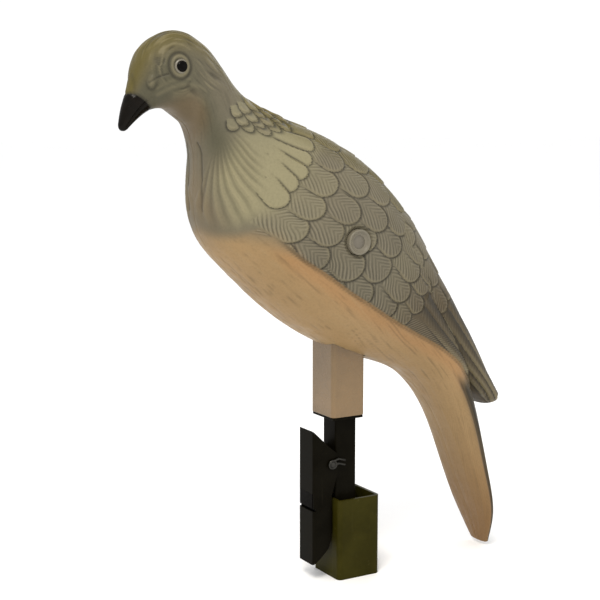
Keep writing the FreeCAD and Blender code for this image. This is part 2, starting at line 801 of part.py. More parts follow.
def build_battery_box():
    """Open tray for four cells; its open side faces the door."""
    width, length, height = size("battery_width"), size("battery_length"), size("battery_height")
    wall = size("battery_box_wall")
    y, z = size("battery_y"), size("battery_z")
    tray = turned_block(-width / 2, width / 2, y, z, length, height)
    inside = turned_block(-width / 2 - 1, width / 2 - wall, y, z, length - 2 * wall, height - 2 * wall)
    return shape_part("battery_box", tray.cut(inside))


def build_battery_cells():
    """Four round cells in two layers, each with its button."""
    radius, length = size("cell_radius"), size("cell_length")
    centre = Vector(0, size("battery_y"), size("battery_z"))
    shift = Vector(-size("battery_box_wall") / 2, 0, 0)
    index = 0
    for column in (-1, 1):
        for layer in (-1, 1):
            index += 1
            way = column * layer
            barrel = Part.makeCylinder(radius, length - 1.2, Vector(0, -length / 2, 0), Vector(0, 1, 0))
            button = Part.makeCylinder(2.6, 1.3, Vector(0, length / 2 - 1.3, 0), Vector(0, 1, 0))
            cell = barrel.fuse(button).removeSplitter()
            if way < 0:
                cell.rotate(Vector(0, 0, 0), Vector(0, 0, 1), 180)
            cell.translate(Vector(column * (radius + 0.15), 0, layer * (radius - 0.05 + 0.2)))
            cell.Placement = Placement(centre + shift, ALONG_BODY).multiply(cell.Placement)
            shape_part("battery_cell_%d" % index, cell)


def build_battery_contacts():
    """Spring plates at both ends of the cells."""
    width, length, height = size("battery_width"), size("battery_length"), size("battery_height")
    wall, thick = size("battery_box_wall"), size("contact_thick")
    centre = Placement(Vector(0, size("battery_y"), size("battery_z")), ALONG_BODY)
    plates = []
    for end in (-1, 1):
        for column in (-1, 1):
            start = (length / 2 - wall) * end - (thick if end > 0 else 0)
            corner = Vector(column * 7.0 - 6.0 - 0.6, start, -height / 2 + wall + 1)
            plate = Part.makeBox(12.0, thick, height - 2 * wall - 2, corner)
            plate.Placement = centre.multiply(plate.Placement)
            plates.append(plate)
    return shape_part("battery_contacts", Part.makeCompound(plates))


def build_switch_housing():
    """Bezel in the right flank with a recess for the slider."""
    outer = size("switch_outer_x")
    housing = switch_block(0.0, outer)
    recess = turned_block(-outer - 1, -outer + size("recess_depth"), size("switch_y"), size("switch_z"),
                          size("knob_length") + size("knob_travel") + 1.0, size("knob_height") + 0.6)
    return shape_part("switch_housing", housing.cut(recess))


def build_switch_knob():
    """Ribbed slider at the upper end of its recess."""
    slope = math.radians(size("battery_slope"))
    back = size("knob_travel") / 2
    y = size("switch_y") - back * math.cos(slope)
    z = size("switch_z") + back * math.sin(slope)
    low = size("switch_outer_x") - size("recess_depth") + 0.1
    knob = turned_block(-size("knob_outer_x"), -low, y, z, size("knob_length"), size("knob_height"))
    for step in (-1, 0, 1):
        rib_y = y + step * 1.7 * math.cos(slope)
        rib_z = z - step * 1.7 * math.sin(slope)
        knob = knob.cut(turned_block(-size("knob_outer_x") - 1, -size("knob_outer_x") + 0.5, rib_y, rib_z, 0.7, 9.0))
    return shape_part("switch_knob", knob)


def build_wire_leads():
    """Two insulated leads: battery box to motor, and battery box to switch."""
    shaft_y, shaft_z = size("shaft_y"), size("shaft_z")
    to_motor = [
        Vector(11.0, shaft_y + 24.0, shaft_z + 1.5),
        Vector(11.0, shaft_y + 19.0, shaft_z + 14.0),
        Vector(11.0, shaft_y + 6.0, shaft_z + 17.0),
        Vector(11.0, shaft_y, shaft_z + size("motor_radius") + 0.3),
    ]
    to_switch = [
        Vector(-13.0, shaft_y + 12.0, shaft_z - 11.5),
        Vector(-19.0, shaft_y + 6.0, shaft_z - 14.0),
        Vector(-20.0, shaft_y - 11.0, shaft_z - 13.0),
        Vector(0.8 - size("switch_inner_x"), size("switch_y"), size("switch_z") - 3.0),
    ]
    leads = [wire_path(route, 0.7) for route in (to_motor, to_switch)]
    return shape_part("wire_leads", Part.makeCompound(leads))


# ---------------------------------------------------------------- assembly and export

def build_all():
    build_pole_tube()
    build_peg_tube()
    build_peg_flange()
    build_pivot_bracket()
    build_pivot_pin()
    build_pin_retainer()
    build_clamp_spring()
    build_clip_lever()
    build_jaw_pad()
    build_pad_band()
    build_leg_post()
    outer, hollow = dove_solids()
    door = build_shells(outer, hollow)
    build_door_screw(door)
    build_shell_screws()
    build_wing_shaft()
    against_x = Rotation(Vector(0, 1, 0), -90)
    for side, turn in (("left", ALONG_X), ("right", against_x)):
        build_wing_hub(side + "_wing_hub", turn)
        build_hub_magnet(side + "_hub_magnet", turn)
    build_motor_can()
    build_motor_clamp()
    build_clamp_screws()
    build_battery_box()
    build_battery_cells()
    build_battery_contacts()
    build_switch_housing()
    build_switch_knob()
    build_wire_leads()
    doc.recompute()


def nodes():
    """The objects that are sub-parts: bodies, and plain shapes that nothing else uses."""
    kinds = ("PartDesign::Body", "Part::Feature", "Part::Cylinder", "Part::Box")
    return [item for item in doc.Objects if item.TypeId in kinds and not item.InList]


def check(items):
    """Stop if any object failed or any sub-part isn't a valid shape."""
    for item in doc.Objects:
        if "Invalid" in item.State or "Error" in item.State:
            raise RuntimeError("%s: %s" % (item.Name, item.State))
    for item in items:
        shape = item.Shape
        if shape.isNull() or not shape.isValid() or shape.Volume <= 0:
            raise RuntimeError(item.Label + " has no valid shape")


def export(items):
    os.makedirs("parts", exist_ok=True)
    for item in items:
        item.Shape.exportStep(os.path.join("parts", item.Label + ".step"))
        box = item.Shape.BoundBox
        report = (item.Label, len(item.Shape.Solids), item.Shape.Volume / 1000, box.XMin, box.XMax,
                  box.YMin, box.YMax, box.ZMin, box.ZMax)
        print("%-18s solids %d  %8.2f cm3  x %.1f..%.1f  y %.1f..%.1f  z %.1f..%.1f" % report)


build_all()
PARTS = nodes()
check(PARTS)
export(PARTS)
print(len(PARTS), "sub-parts")
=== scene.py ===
"""Looks of the motion wing decoy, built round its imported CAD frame.

Metres in the scene, millimetres in the tables below. +Z is up and the bird faces -Y.
The dove's skin is lofted through the same cross-sections as the CAD shells, then carved:
feathers, head, beak and tail are raised from it in the coordinates s, along the flank from
the beak, and h, round the flank towards the back.
"""

import math
from types import SimpleNamespace

import bmesh
import bpy
import numpy as np
from mathutils import Matrix, Vector


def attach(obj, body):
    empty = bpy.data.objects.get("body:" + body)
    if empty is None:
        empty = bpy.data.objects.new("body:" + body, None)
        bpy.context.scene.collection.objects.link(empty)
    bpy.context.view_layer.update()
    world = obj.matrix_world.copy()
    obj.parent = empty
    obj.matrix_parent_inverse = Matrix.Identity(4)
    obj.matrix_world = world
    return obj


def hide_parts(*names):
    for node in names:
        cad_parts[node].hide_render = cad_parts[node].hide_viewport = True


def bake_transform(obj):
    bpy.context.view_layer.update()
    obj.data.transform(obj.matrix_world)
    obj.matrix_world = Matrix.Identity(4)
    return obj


MM = 0.001

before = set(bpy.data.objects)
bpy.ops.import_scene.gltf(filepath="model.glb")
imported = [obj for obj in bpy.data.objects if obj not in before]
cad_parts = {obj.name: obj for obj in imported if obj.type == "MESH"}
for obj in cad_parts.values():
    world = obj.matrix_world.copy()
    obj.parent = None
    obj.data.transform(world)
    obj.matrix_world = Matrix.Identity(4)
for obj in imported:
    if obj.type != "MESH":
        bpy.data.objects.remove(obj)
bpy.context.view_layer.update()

# Cross-sections, from the beak's tip to the tail's tip:
# back (y, z), front (y, z), half width, place of the widest line from front to back, fullness
BODY_SECTIONS = [
    ((-126.2, 234.2), (-123.0, 232.4), 1.6, 0.5, 2.0),
    ((-124.2, 244.0), (-115.8, 239.2), 4.2, 0.5, 2.0),
    ((-121.0, 254.0), (-107.5, 243.5), 6.6, 0.5, 2.0),
    ((-119.5, 260.5), (-102.0, 243.0), 10.0, 0.5, 2.05),
    ((-115.0, 270.5), (-96.5, 239.5), 14.0, 0.52, 2.1),
    ((-98.0, 279.5), (-91.5, 235.0), 16.5, 0.52, 2.1),
    ((-80.0, 270.0), (-89.0, 228.0), 16.5, 0.5, 2.1),
    ((-66.5, 253.5), (-87.5, 217.0), 18.0, 0.45, 2.1),
    ((-50.5, 243.0), (-88.0, 203.0), 23.0, 0.42, 2.1),
    ((-27.0, 233.5), (-85.0, 183.5), 30.0, 0.45, 2.15),
    ((-3.0, 220.5), (-68.5, 163.5), 35.0, 0.48, 2.2),
    ((21.0, 198.5), (-45.5, 142.5), 36.5, 0.5, 2.2),
    ((38.5, 171.5), (-18.0, 125.0), 34.0, 0.5, 2.15),
    ((51.0, 144.0), (10.0, 114.0), 28.0, 0.5, 2.1),
    ((63.0, 118.0), (32.0, 105.0), 24.5, 0.52, 2.1),
    ((71.5, 95.0), (49.5, 88.5), 22.0, 0.55, 2.1),
    ((77.5, 73.0), (61.5, 67.5), 20.0, 0.6, 2.3),
    ((83.5, 47.0), (71.5, 43.0), 18.5, 0.65, 2.5),
    ((89.0, 22.0), (81.5, 19.5), 15.5, 0.65, 2.5),
    ((91.0, 3.0), (88.0, 2.0), 7.5, 0.6, 2.3),
]
WING_SECTIONS = [
    ((-8.0, 218.0), (-30.0, 192.0), 24.0, 0.5, 2.1),
    ((21.5, 198.0), (-5.0, 167.0), 31.5, 0.5, 2.1),
    ((40.5, 170.5), (15.0, 147.0), 29.0, 0.5, 2.1),
    ((58.5, 143.5), (36.0, 125.0), 24.5, 0.5, 2.1),
    ((74.5, 118.0), (57.0, 104.0), 20.0, 0.5, 2.1),
    ((87.5, 97.0), (74.0, 89.0), 15.5, 0.5, 2.1),
    ((95.5, 86.5), (85.5, 82.0), 11.0, 0.5, 2.1),
]
HOLLOW_SECTIONS = BODY_SECTIONS[4:16]
SHELL_WALL = 2.2
SHELL_SCREWS = [(-97.0, 255.0), (-70.0, 212.0), (12.0, 190.0), (-52.0, 158.0), (38.0, 119.0), (69.0, 76.0)]
BOSS_RADIUS = 4.6
COUNTERBORE = 3.1
POST_ROOM = ((-11.2, -15.9, 80.0), (11.2, 4.3, 136.0))
SHAFT_Y, SHAFT_Z = -17.7, 179.6
HUB_HOLE = 6.5
# The door and the switch on the right flank lie along the body's slope: their centres (y, z), their
# length and height, the door's gap, and how far its screw is from its centre.
BODY_SLOPE = 45.0
DOOR, DOOR_SIZE, DOOR_GAP, DOOR_SCREW = (15.2, 148.2), (46.0, 24.0), 0.7, 18.0
SWITCH, SWITCH_SIZE = (-40.0, 176.0), (20.3, 10.3)


# ---- numbers

def smooth(low, high, x):
    """0 at low, 1 at high and an even curve between; it falls when low is the larger."""
    t = np.clip((x - low) / (high - low), 0.0, 1.0)
    return t * t * (3.0 - 2.0 * t)


def bell(x, width):
    """1 at 0, falling evenly on both sides over about the width."""
    return np.exp(-(x / width) ** 2)


def value_noise(x, y, seed):
    """Smooth noise from -1 to 1 over a plane, the same on every run."""
    xi, yi = np.floor(x).astype(np.int64), np.floor(y).astype(np.int64)
    fx, fy = x - xi, y - yi
    fx, fy = fx * fx * (3 - 2 * fx), fy * fy * (3 - 2 * fy)

    def corner(i, j):
        n = (xi + i) * 374761393 + (yi + j) * 668265263 + seed * 1442695041
        n = (n ^ (n >> 13)) * 1274126177
        n = n ^ (n >> 16)
        return (n & 0xFFFF) / 32767.5 - 1.0

    low = corner(0, 0) * (1 - fx) + corner(1, 0) * fx
    high = corner(0, 1) * (1 - fx) + corner(1, 1) * fx
    return low * (1 - fy) + high * fy


def line_distance(s, h, start, end):
    """Distance from a straight stroke."""
    a, b = np.array(start, float), np.array(end, float)
    d = b - a
    t = np.clip(((s - a[0]) * d[0] + (h - a[1]) * d[1]) / (d @ d), 0.0, 1.0)
    return np.hypot(s - a[0] - t * d[0], h - a[1] - t * d[1])


def path_distance(s, h, points):
    """Distance from a stroke through several points."""
    best = np.full(s.shape, 1e9)
    for start, end in zip(points, points[1:]):
        best = np.minimum(best, line_distance(s, h, start, end))
    return best


# ---- lofted skin

def section_rings(sections, angles, inset=0.0):
    """Points of every cross-section at the given angles, from the back (0) to the front (pi)."""
    rings = []
    for back, front, half_width, widest, fullness in sections:
        back, front = np.array(back, float), np.array(front, float)
        across = (back - front) / np.linalg.norm(back - front) * inset
        back, front = back - across, front + across
        sine, cosine = np.sin(angles), np.cos(angles)
        power = 2.0 / fullness
        x = np.sign(sine) * np.abs(sine) ** power * (half_width - inset)
        along = np.sign(cosine) * np.abs(cosine) ** power
        reach = widest + np.where(along > 0, 1 - widest, widest) * along
        rings.append(np.column_stack([x, front + (back - front) * reach[:, None]]))
    return np.array(rings)


def natural_spline(knots, values, where):
    """Natural cubic spline through values at the knots."""
    count = len(knots)
    step = np.diff(knots)
    flat = values.reshape(count, -1)
    matrix = np.eye(count)
    right = np.zeros_like(flat)
    for i in range(1, count - 1):
        matrix[i, i - 1:i + 2] = step[i - 1], 2 * (step[i - 1] + step[i]), step[i]
    slope = np.diff(flat, axis=0) / step[:, None]
    right[1:-1] = 6 * np.diff(slope, axis=0)
    bend = np.linalg.solve(matrix, right)
    k = np.clip(np.searchsorted(knots, where) - 1, 0, count - 2)
    width = step[k][:, None]
    b = (where - knots[k])[:, None] / width
    a = 1 - b
    curve = ((a ** 3 - a) * bend[k] + (b ** 3 - b) * bend[k + 1]) * width ** 2 / 6
    result = a * flat[k] + b * flat[k + 1] + curve
    return result.reshape((len(where),) + values.shape[1:])


def loft(sections, rows, angles, inset=0.0):
    """Grid of points of the skin through the sections: rows from 0 to 1, angles round the ring."""
    even = section_rings(sections, np.linspace(0, 2 * np.pi, 33), inset)
    chords = np.linalg.norm(np.diff(even, axis=0), axis=2)
    knots = np.concatenate([[0.0], np.cumsum((chords / chords.sum(0)).mean(1))])
    knots[-1] = 1.0
    return natural_spline(knots, section_rings(sections, angles, inset), rows)


def arc_along(points):
    """Length along a line of points."""
    return np.concatenate([[0.0], np.cumsum(np.linalg.norm(np.diff(points, axis=0), axis=1))])


def spaced(total, spacing):
    """Places from 0 to total whose spacing follows a function of the place."""
    fine = np.linspace(0, total, 2000)
    density = np.concatenate([[0.0], np.cumsum(np.diff(fine) / spacing((fine[1:] + fine[:-1]) / 2))])
    count = int(round(density[-1])) + 1
    return np.interp(np.linspace(0, density[-1], count), density, fine)


def half_skin(sections, reference, row_spacing, ring_spacing):
    """The left half of a lofted skin, with its s and h coordinates and outward normals."""
    even = np.linspace(0, 1, 801)
    flank = loft(sections, even, np.array([np.pi / 2]))[:, 0]
    s_even = arc_along(flank)
    rows_s = spaced(s_even[-1], row_spacing)
    rows = np.interp(rows_s, s_even, even)
    fine = np.linspace(0, np.pi, 721)
    girth = arc_along(section_rings([sections[reference]], fine)[0])
    angles = np.interp(spaced(girth[-1], ring_spacing), girth, fine)
    angles[0], angles[-1] = 0.0, np.pi
    points = loft(sections, rows, angles)
    points[:, 0, 0] = points[:, -1, 0] = 0.0
    along = np.linalg.norm(np.diff(points, axis=1), axis=2)
    arc = np.concatenate([np.zeros((len(rows), 1)), np.cumsum(along, axis=1)], axis=1)
    middle = np.array([np.interp(np.pi / 2, angles, row) for row in arc])
    h = middle[:, None] - arc
    s = np.repeat(rows_s[:, None], len(angles), axis=1)
    normal = np.cross(np.gradient(points, axis=1), np.gradient(points, axis=0))
    normal[:, 0, 0] = normal[:, -1, 0] = 0.0
    normal /= np.maximum(np.linalg.norm(normal, axis=2, keepdims=True), 1e-9)
    return SimpleNamespace(points=points, normal=normal, s=s, h=h, top=middle, girth=arc[:, -1])


# ---- feathers

# Two fields hold painted light: one darkens grooves, hollows and edge undersides as painted shade, the other
# lightens raised parts as painted highlight.
FIELDS = ("height", "crevice", "barb", "phase", "ridge", "tint", "tan", "black", "warm", "olive", "cool",
          "brown", "dusk")
CARVED = ("height", "crevice", "barb", "ridge")


def blank_relief(skin):
    """Every field of a relief, all zero: height in mm, the others from 0 to 1 or -1 to 1."""
    return SimpleNamespace(**{name: np.zeros(skin.s.shape) for name in FIELDS})


def darken(relief, amount):
    """Bring the painted shade in the grooves and hollows up to an amount."""
    relief.crevice = np.maximum(relief.crevice, amount)


def lighten(relief, amount):
    """Bring the painted highlight on the raised parts up to an amount."""
    relief.ridge = np.maximum(relief.ridge, amount)


def flatten(relief, share):
    """Bring the carving down to a share."""
    for name in CARVED:
        vars(relief)[name] *= share


BARB_PITCH = 1.62
QUILL_PLACE = 0.22


def feather_grid(skin, tip, turn, length):
    """Points near a feather: their rows and columns, and their places along and across it."""
    s, h = skin.s, skin.h
    reach = length + 3
    near = (np.abs(s - tip[0]) < reach) & (np.abs(h - tip[1]) < reach)
    rows, columns = np.nonzero(near)
    ds, dh = s[rows, columns] - tip[0], h[rows, columns] - tip[1]
    cosine, sine = math.cos(math.radians(turn)), math.sin(math.radians(turn))
    return rows, columns, ds * cosine + dh * sine + length, dh * cosine - ds * sine


def barb_phase(tip, along, across, off_quill, tint):
    """Place in the pattern of barbs, which slant away from the quill and waver a little."""
    slant = math.radians(40 + 6 * tint)
    phase = (along * math.sin(slant) - off_quill * math.cos(slant)) / BARB_PITCH
    return phase + 0.55 * value_noise(along * 0.15 + tip[0], across * 0.15 + tip[1], 5)


def lay_feather(relief, skin, tip, turn, width, length, point, lift, barbs, tint, drop=0.9, open_from=0.3,
                bulge=0.35, shade=0.0):
    """Lay one feather over what is there: its vane, the painted shadow in the groove round its tip, and its
    barbs.

    tip is its end (s, h), turn its direction in degrees from +s towards +h,
    point the length of its rounded end, lift how far the end stands up, barbs their strength.
    The painted shadow in the groove along its sides starts at the share open_from of its length; shade is the
    painted shade on its upper side.
    """
    rows, columns, along, across = feather_grid(skin, tip, turn, length)
    if not len(rows):
        return
    half = width / 2
    past = np.maximum(along - (length - point), 0.0) / point
    depth = (1 - np.sqrt((across / half) ** 2 + past ** 2)) * min(half, point)
    inside = (depth > 0) & (along > 0)
    vane = smooth(0.0, drop, depth)
    rise = lift * smooth(0.0, length, along) * vane
    crown = bulge * min(1.0, width / 12) * (1 - np.clip(across / half, -1, 1) ** 2)
    off_quill = np.abs(across - QUILL_PLACE * half)
    quill = 0.07 * bell(off_quill, 0.55) * smooth(0.2 * length, 0.5 * length, along)
    phase = barb_phase(tip, along, across, off_quill, tint)
    strength = barbs * smooth(0.25, 1.6, depth) * (0.45 + 0.55 * smooth(0.4, half * 0.7, off_quill))
    grooves = 0.17 * strength * np.sin(2 * np.pi * phase)
    # Painted highlight along the raised edge of the vane.
    rim_highlight = bell(depth - 0.7, 0.6 + 0.6 * shade) * smooth(0.35 * length * (1 - shade), 0.8 * length, along)
    r, c = rows[inside], columns[inside]
    relief.height[r, c] = (rise + crown * vane + quill + grooves)[inside]
    # Painted shade on the upper side, where the next feather covers it.
    relief.crevice[r, c] = shade * smooth(-0.85 * half, 0.15 * half, across[inside])
    relief.barb[r, c] = strength[inside]
    relief.phase[r, c] = phase[inside]
    relief.ridge[r, c] = rim_highlight[inside] * (1 + shade)
    relief.tint[r, c] = tint
    # Painted shadow in a band round the outline.
    outside = ~inside & (depth > -1.8) & (along > open_from * length)
    r, c = rows[outside], columns[outside]
    edge = bell(depth, 0.75) * smooth(open_from * length, (open_from + 0.3) * length, along)
    relief.crevice[r, c] = np.maximum(relief.crevice[r, c], edge[outside])


# Lower edge of the folded wing, and the front of the tan underside, as points (s, h).
WING_EDGE = [(96, -60), (112, -40), (121, -25), (129, -20.5), (149, -21), (178, -17), (205, -10), (237, -1),
             (262, 6), (285, 9), (300, 10)]


def wing_edge(s):
    return np.interp(s, *np.transpose(WING_EDGE))


# How much the six rows of wing feathers narrow, from the shoulder back.
ROW_WIDTHS = (1.0, 1.0, 1.0, 0.95, 0.84, 0.74)


def wing_feathers(skin):
    """The shingled rows behind the shoulder, as arguments of lay_feather, rear row first."""
    laid = []
    top_s, tops = skin.s[:, 0], skin.h[:, 0]
    draw = np.random.default_rng(31)
    for k in range(5, -1, -1):
        row_s = 122 + 16.5 * k - 2.5 * (k == 5)
        top = float(np.interp(row_s, top_s, tops))
        low = float(wing_edge(row_s))
        squeeze = min(1.0, (top - low) / 80.0)
        width = 16.2 * (0.35 + 0.65 * squeeze) * ROW_WIDTHS[k]
        pitch = 15.0 * squeeze * ROW_WIDTHS[k]
        start = top - (7.5 * (k % 2) + 7.0) * squeeze + 7.5
        rearward = max(0, k - 3)
        for j in range(int((start - low) / pitch) + 2, -1, -1):
            h = start - pitch * j
            if h < low - 0.35 * pitch:
                continue
            s = row_s + 0.2 * (35 - h) * squeeze + draw.uniform(-1.9, 1.9)
            wide = width * draw.uniform(0.90, 1.10)
            tint = draw.uniform(-1.0, -0.35) + 0.3 * (k == 0)
            tip = (s + 8.5, h + draw.uniform(-0.9, 0.9))
            turn = draw.uniform(-9, 4) - 12 * (1 - squeeze)
            point = min(7.6 - 0.6 * rearward, wide * 0.52) * draw.uniform(0.88, 1.12)
            barbs = 1.1 - 0.5 * (h - low) / (top - low)
            laid.append(dict(tip=tip, turn=turn, width=wide, length=24 + 2.2 * rearward, point=point,
                             lift=0.66, barbs=barbs, tint=tint))
    return laid


# Smooth pointed feathers over the shoulder, lowest first.
SCAPULARS = [
    # tip (s, h), turn, width, length, point, barbs
    ((120.5, -5.0), -14, 11.5, 17, 5.8, 0.08),
    ((118.6, 4.8), -8, 10.5, 17, 5.2, 0.06),
    ((118.5, 14.8), 8, 9.0, 20, 4.4, 0.1),
    ((116.0, 23.8), 24, 8.4, 26, 3.6, 0.05),
    ((113.2, 33.6), 33, 8.6, 29, 3.6, 0.05),
    ((112.0, 43.0), 28, 9.0, 26, 3.8, 0.05),
    ((111.0, 53.0), 18, 9.5, 22, 4.2, 0.05),
]
# Long blades of the folded wing's rear, in the side view:
# u runs along the wing and is 0 at its tip, v runs towards the back.
BLADES = [
    # tip (u, v), turn, width, length
    ((-4.0, -3.4), 10.5, 8.6, 92),
    ((-1.5, -1.4), 7.8, 8.4, 93),
    ((-0.5, 0.8), 5.2, 8.2, 92),
    ((-1.0, 3.2), 2.6, 8.0, 88),
    ((-5.0, 5.4), -0.3, 8.0, 80),
    ((-17.0, 7.2), -4.0, 8.0, 66),
    ((-30.0, 9.0), -6.5, 8.0, 50),
]
# The wing's tip (y, z) and the direction of its blades.
WING_TIP = (96.0, 83.0)
WING_WAY = (0.611, -0.792)


def lay_blades(skin, relief):
    """Lay the long rear blades over a skin, each one in painted shade where the next one covers it."""
    y, z = skin.points[:, :, 1] - WING_TIP[0], skin.points[:, :, 2] - WING_TIP[1]
    side = SimpleNamespace(s=WING_WAY[0] * y + WING_WAY[1] * z, h=WING_WAY[0] * z - WING_WAY[1] * y)
    for number, (tip, turn, width, length) in enumerate(BLADES):
        lay_feather(relief, side, tip=tip, turn=turn, width=width, length=length, point=6.0, lift=0.5,
                    barbs=0.3, tint=-0.8 + 0.2 * (number % 3), drop=1.4, open_from=0.0, bulge=1.5, shade=0.85)


def nape_scales():
    """Small scales across the back of the neck, lowest row first; their front edge leans back."""
    laid = []
    draw = np.random.default_rng(7)
    for row in range(14):
        odd = row % 2
        for j in range(4 if row else 2, -1, -1):
            s = 77.8 + 6.6 * j - 0.15 * row - 3.3 * odd + draw.uniform(-0.4, 0.4)
            h = 2.2 + 7.0 * j + 3.3 * row - 3.5 * odd + draw.uniform(-0.4, 0.4)
            if max(75.5, 72.0 + 0.5 * h) < s < 97.5:
                turn = -74 + 2.0 * max(0.0, 95 - s) + draw.uniform(-6, 6)
                length = 6.0 if s > 81 else 4.4
                laid.append(dict(tip=(s, h), turn=turn, width=9.4, length=length, point=2.2, lift=0.75,
                                 barbs=0.0, tint=draw.uniform(0.0, 0.6), drop=0.8, open_from=0.0))
    return laid


def carve_fan(skin, relief):
    """Ribs that spread over the side of the breast from below the nape, in painted shade and highlight."""
    s, h = skin.s, skin.h
    ds, dh = s - 63.0, h + 5.0
    radius = np.hypot(ds, dh)
    angle = np.degrees(np.arctan2(dh, ds)) + 0.18 * (radius - 30)
    angle = angle + 2.0 * value_noise(radius * 0.09, angle * 0.05, 3)
    ribs = np.cos(np.radians(angle * 360.0 / 6.6))
    reach = np.interp(angle, [-40, -18, 0, 12, 30], [54, 58, 47, 40, 34])
    inside = smooth(11, 28, radius) * smooth(1.1, 0.8, radius / reach)
    inside = inside * smooth(-46, -34, angle) * smooth(32, 18, angle) * (ds > 0)
    relief.height += inside * (0.42 * ribs + 0.12 * ribs ** 2)
    darken(relief, 0.34 * inside * smooth(0.1, 1.0, -ribs))
    lighten(relief, 0.55 * inside * smooth(0.4, 1.0, ribs))


# Centres on the left side, in mm: the eye's socket, its ball and the fleshy cere over the beak.
EYE = (15.5, -101.3, 262.8)
EYE_BALL = (15.3, -100.6, 262.3)
CERE = (9.9, -113.2, 255.3)

# Strokes on the head and neck: points (s, h), height or depth, width.
HEAD_GROOVES = (
    (((25.5, 5.0), (29.5, 4.4), (33.5, 3.2)), 0.45, 0.7),
    (((17.5, 5.0), (21.5, 9.5), (24.0, 15.0)), 0.22, 0.9),
    (((61.5, -24.2), (66, -22.4), (70.8, -21.6), (78, -22.8), (85, -25.1), (92.5, -30), (99.8, -35.9)),
     0.55, 0.8),
)
HEAD_FOLDS = (
    (((24, -2), (33, -3.2), (45, -4.5), (52, -3.5)), 0.42, 1.5),
    (((26, 0.6), (33, -0.2), (42, -1.6)), 0.30, 1.2),
    (((31, -7.5), (42, -9.5), (52, -9.0)), 0.26, 1.7),
)


def from_eye(skin):
    """Places round the eye: back, up, distance and angle."""
    away = skin.points - np.array(EYE)
    back, up = away[:, :, 1], away[:, :, 2]
    radius = np.hypot(np.hypot(back * 1.12, up * 0.94), away[:, :, 0])
    return back, up, radius, np.arctan2(up, back)


def carve_eye(skin, relief):
    """A sunk socket with a raised lid round it, painted shade in the socket and a painted highlight on the
    lid.
    """
    radius = from_eye(skin)[2]
    socket, lid = bell(radius - 5.9, 0.75), bell(radius - 4.2, 0.75)
    relief.height += 0.35 * bell(radius, 5.2) - 0.55 * socket + 0.38 * lid
    relief.height -= 1.3 * smooth(3.5, 2.4, radius)
    darken(relief, 0.75 * socket)
    lighten(relief, 0.9 * lid)


def carve_folds(skin, relief):
    """Brow line, cheek folds and the fold down the neck, with painted shade in grooves and highlight on
    folds.
    """
    s, h = skin.s, skin.h
    for points, depth, width in HEAD_GROOVES:
        distance = path_distance(s, h, points)
        relief.height -= depth * bell(distance, width)
        darken(relief, 1.3 * depth * bell(distance, width * 0.8))
    for points, rise, width in HEAD_FOLDS:
        distance = path_distance(s, h, points)
        relief.height += rise * bell(distance, width)
        lighten(relief, 1.2 * rise * bell(distance, width * 0.7))


def carve_cere(skin, relief):
    """The fleshy bump over the beak, with a painted shadow along its lower edge and a painted highlight on
    top.
    """
    away = skin.points - np.array(CERE)
    bump = np.hypot(np.hypot(away[:, :, 1] * 1.25, away[:, :, 2] * 0.8), away[:, :, 0] * 0.8)
    relief.height += 1.5 * bell(bump, 2.0) - 0.3 * bell(bump - 3.1, 0.7)
    under = smooth(2.5, -2.0, away[:, :, 2])
    darken(relief, 0.42 * bell(bump - 2.7, 0.7) * under)
    lighten(relief, bell(bump, 1.7))


def carve_hair(skin, relief):
    """Hair-like strokes that run round the eye, and back from it behind the eye, in painted shade and
    highlight.
    """
    back, up, radius, angle = from_eye(skin)
    s, degrees = skin.s, np.degrees(angle)
    hair = smooth(6.5, 9, radius) * smooth(68, 54, s) * smooth(27, 33, s) * smooth(-17, -9, up)
    around = value_noise(radius * 0.85 + 0.8 * value_noise(back * 0.16, up * 0.16, 9), angle * 2.1, 11)
    around = around + 0.6 * value_noise(radius * 1.6, angle * 2.8, 12)
    across = 0.79 * up + 0.62 * back + 0.9 * value_noise(back * 0.14, up * 0.14, 8)
    along = 0.62 * up - 0.79 * back
    running = value_noise(across * 0.85, along * 0.12, 14) + 0.6 * value_noise(across * 1.6, along * 0.17, 15)
    behind = smooth(-95, -65, degrees) * smooth(62, 30, degrees) * smooth(2, 7, back)
    strokes = around * (1 - behind) + running * behind
    relief.height += 0.24 * hair * strokes
    darken(relief, 0.60 * hair * smooth(0.1, 0.95, -strokes))
    lighten(relief, 0.80 * hair * smooth(0.15, 1.0, strokes))


def carve_neck(skin, relief):
    """Fine combed strokes down the neck, with painted shade between them."""
    s, h = skin.s, skin.h
    neck = smooth(46, 58, s) * smooth(80, 66, s)
    comb = value_noise(s * 0.10, h * 0.62 + 0.12 * s, 21)
    relief.height += 0.12 * neck * comb
    darken(relief, 0.22 * neck * smooth(0.2, 0.9, -comb))


def carve_beak(skin, relief):
    """The black beak with its mouth line and nostril, and the groove where it meets the head, in painted
    shade.
    """
    s, h, height = skin.s, skin.h, relief.height
    edge = 17.6 - 0.03 * (h - 1) ** 2 * (h > 1) - 0.10 * np.maximum(-h, 0)
    relief.black = smooth(0.35, -0.35, s - edge)
    beak = smooth(19, 14, s)
    mouth = np.abs(h + 1.2 + 0.0035 * (s - 4) ** 2)
    height -= 0.45 * bell(mouth, 0.5) * smooth(1.0, 4.0, s) * smooth(20.5, 17.5, s)
    nostril = line_distance(s, h, (11.5, 3.4), (15.0, 3.0))
    height += 0.55 * bell(nostril, 1.3) * beak - 0.5 * bell(nostril, 0.5) * beak
    height -= 0.35 * bell(s - edge, 0.7)
    darken(relief, 0.5 * bell(s - edge - 0.5, 0.5))


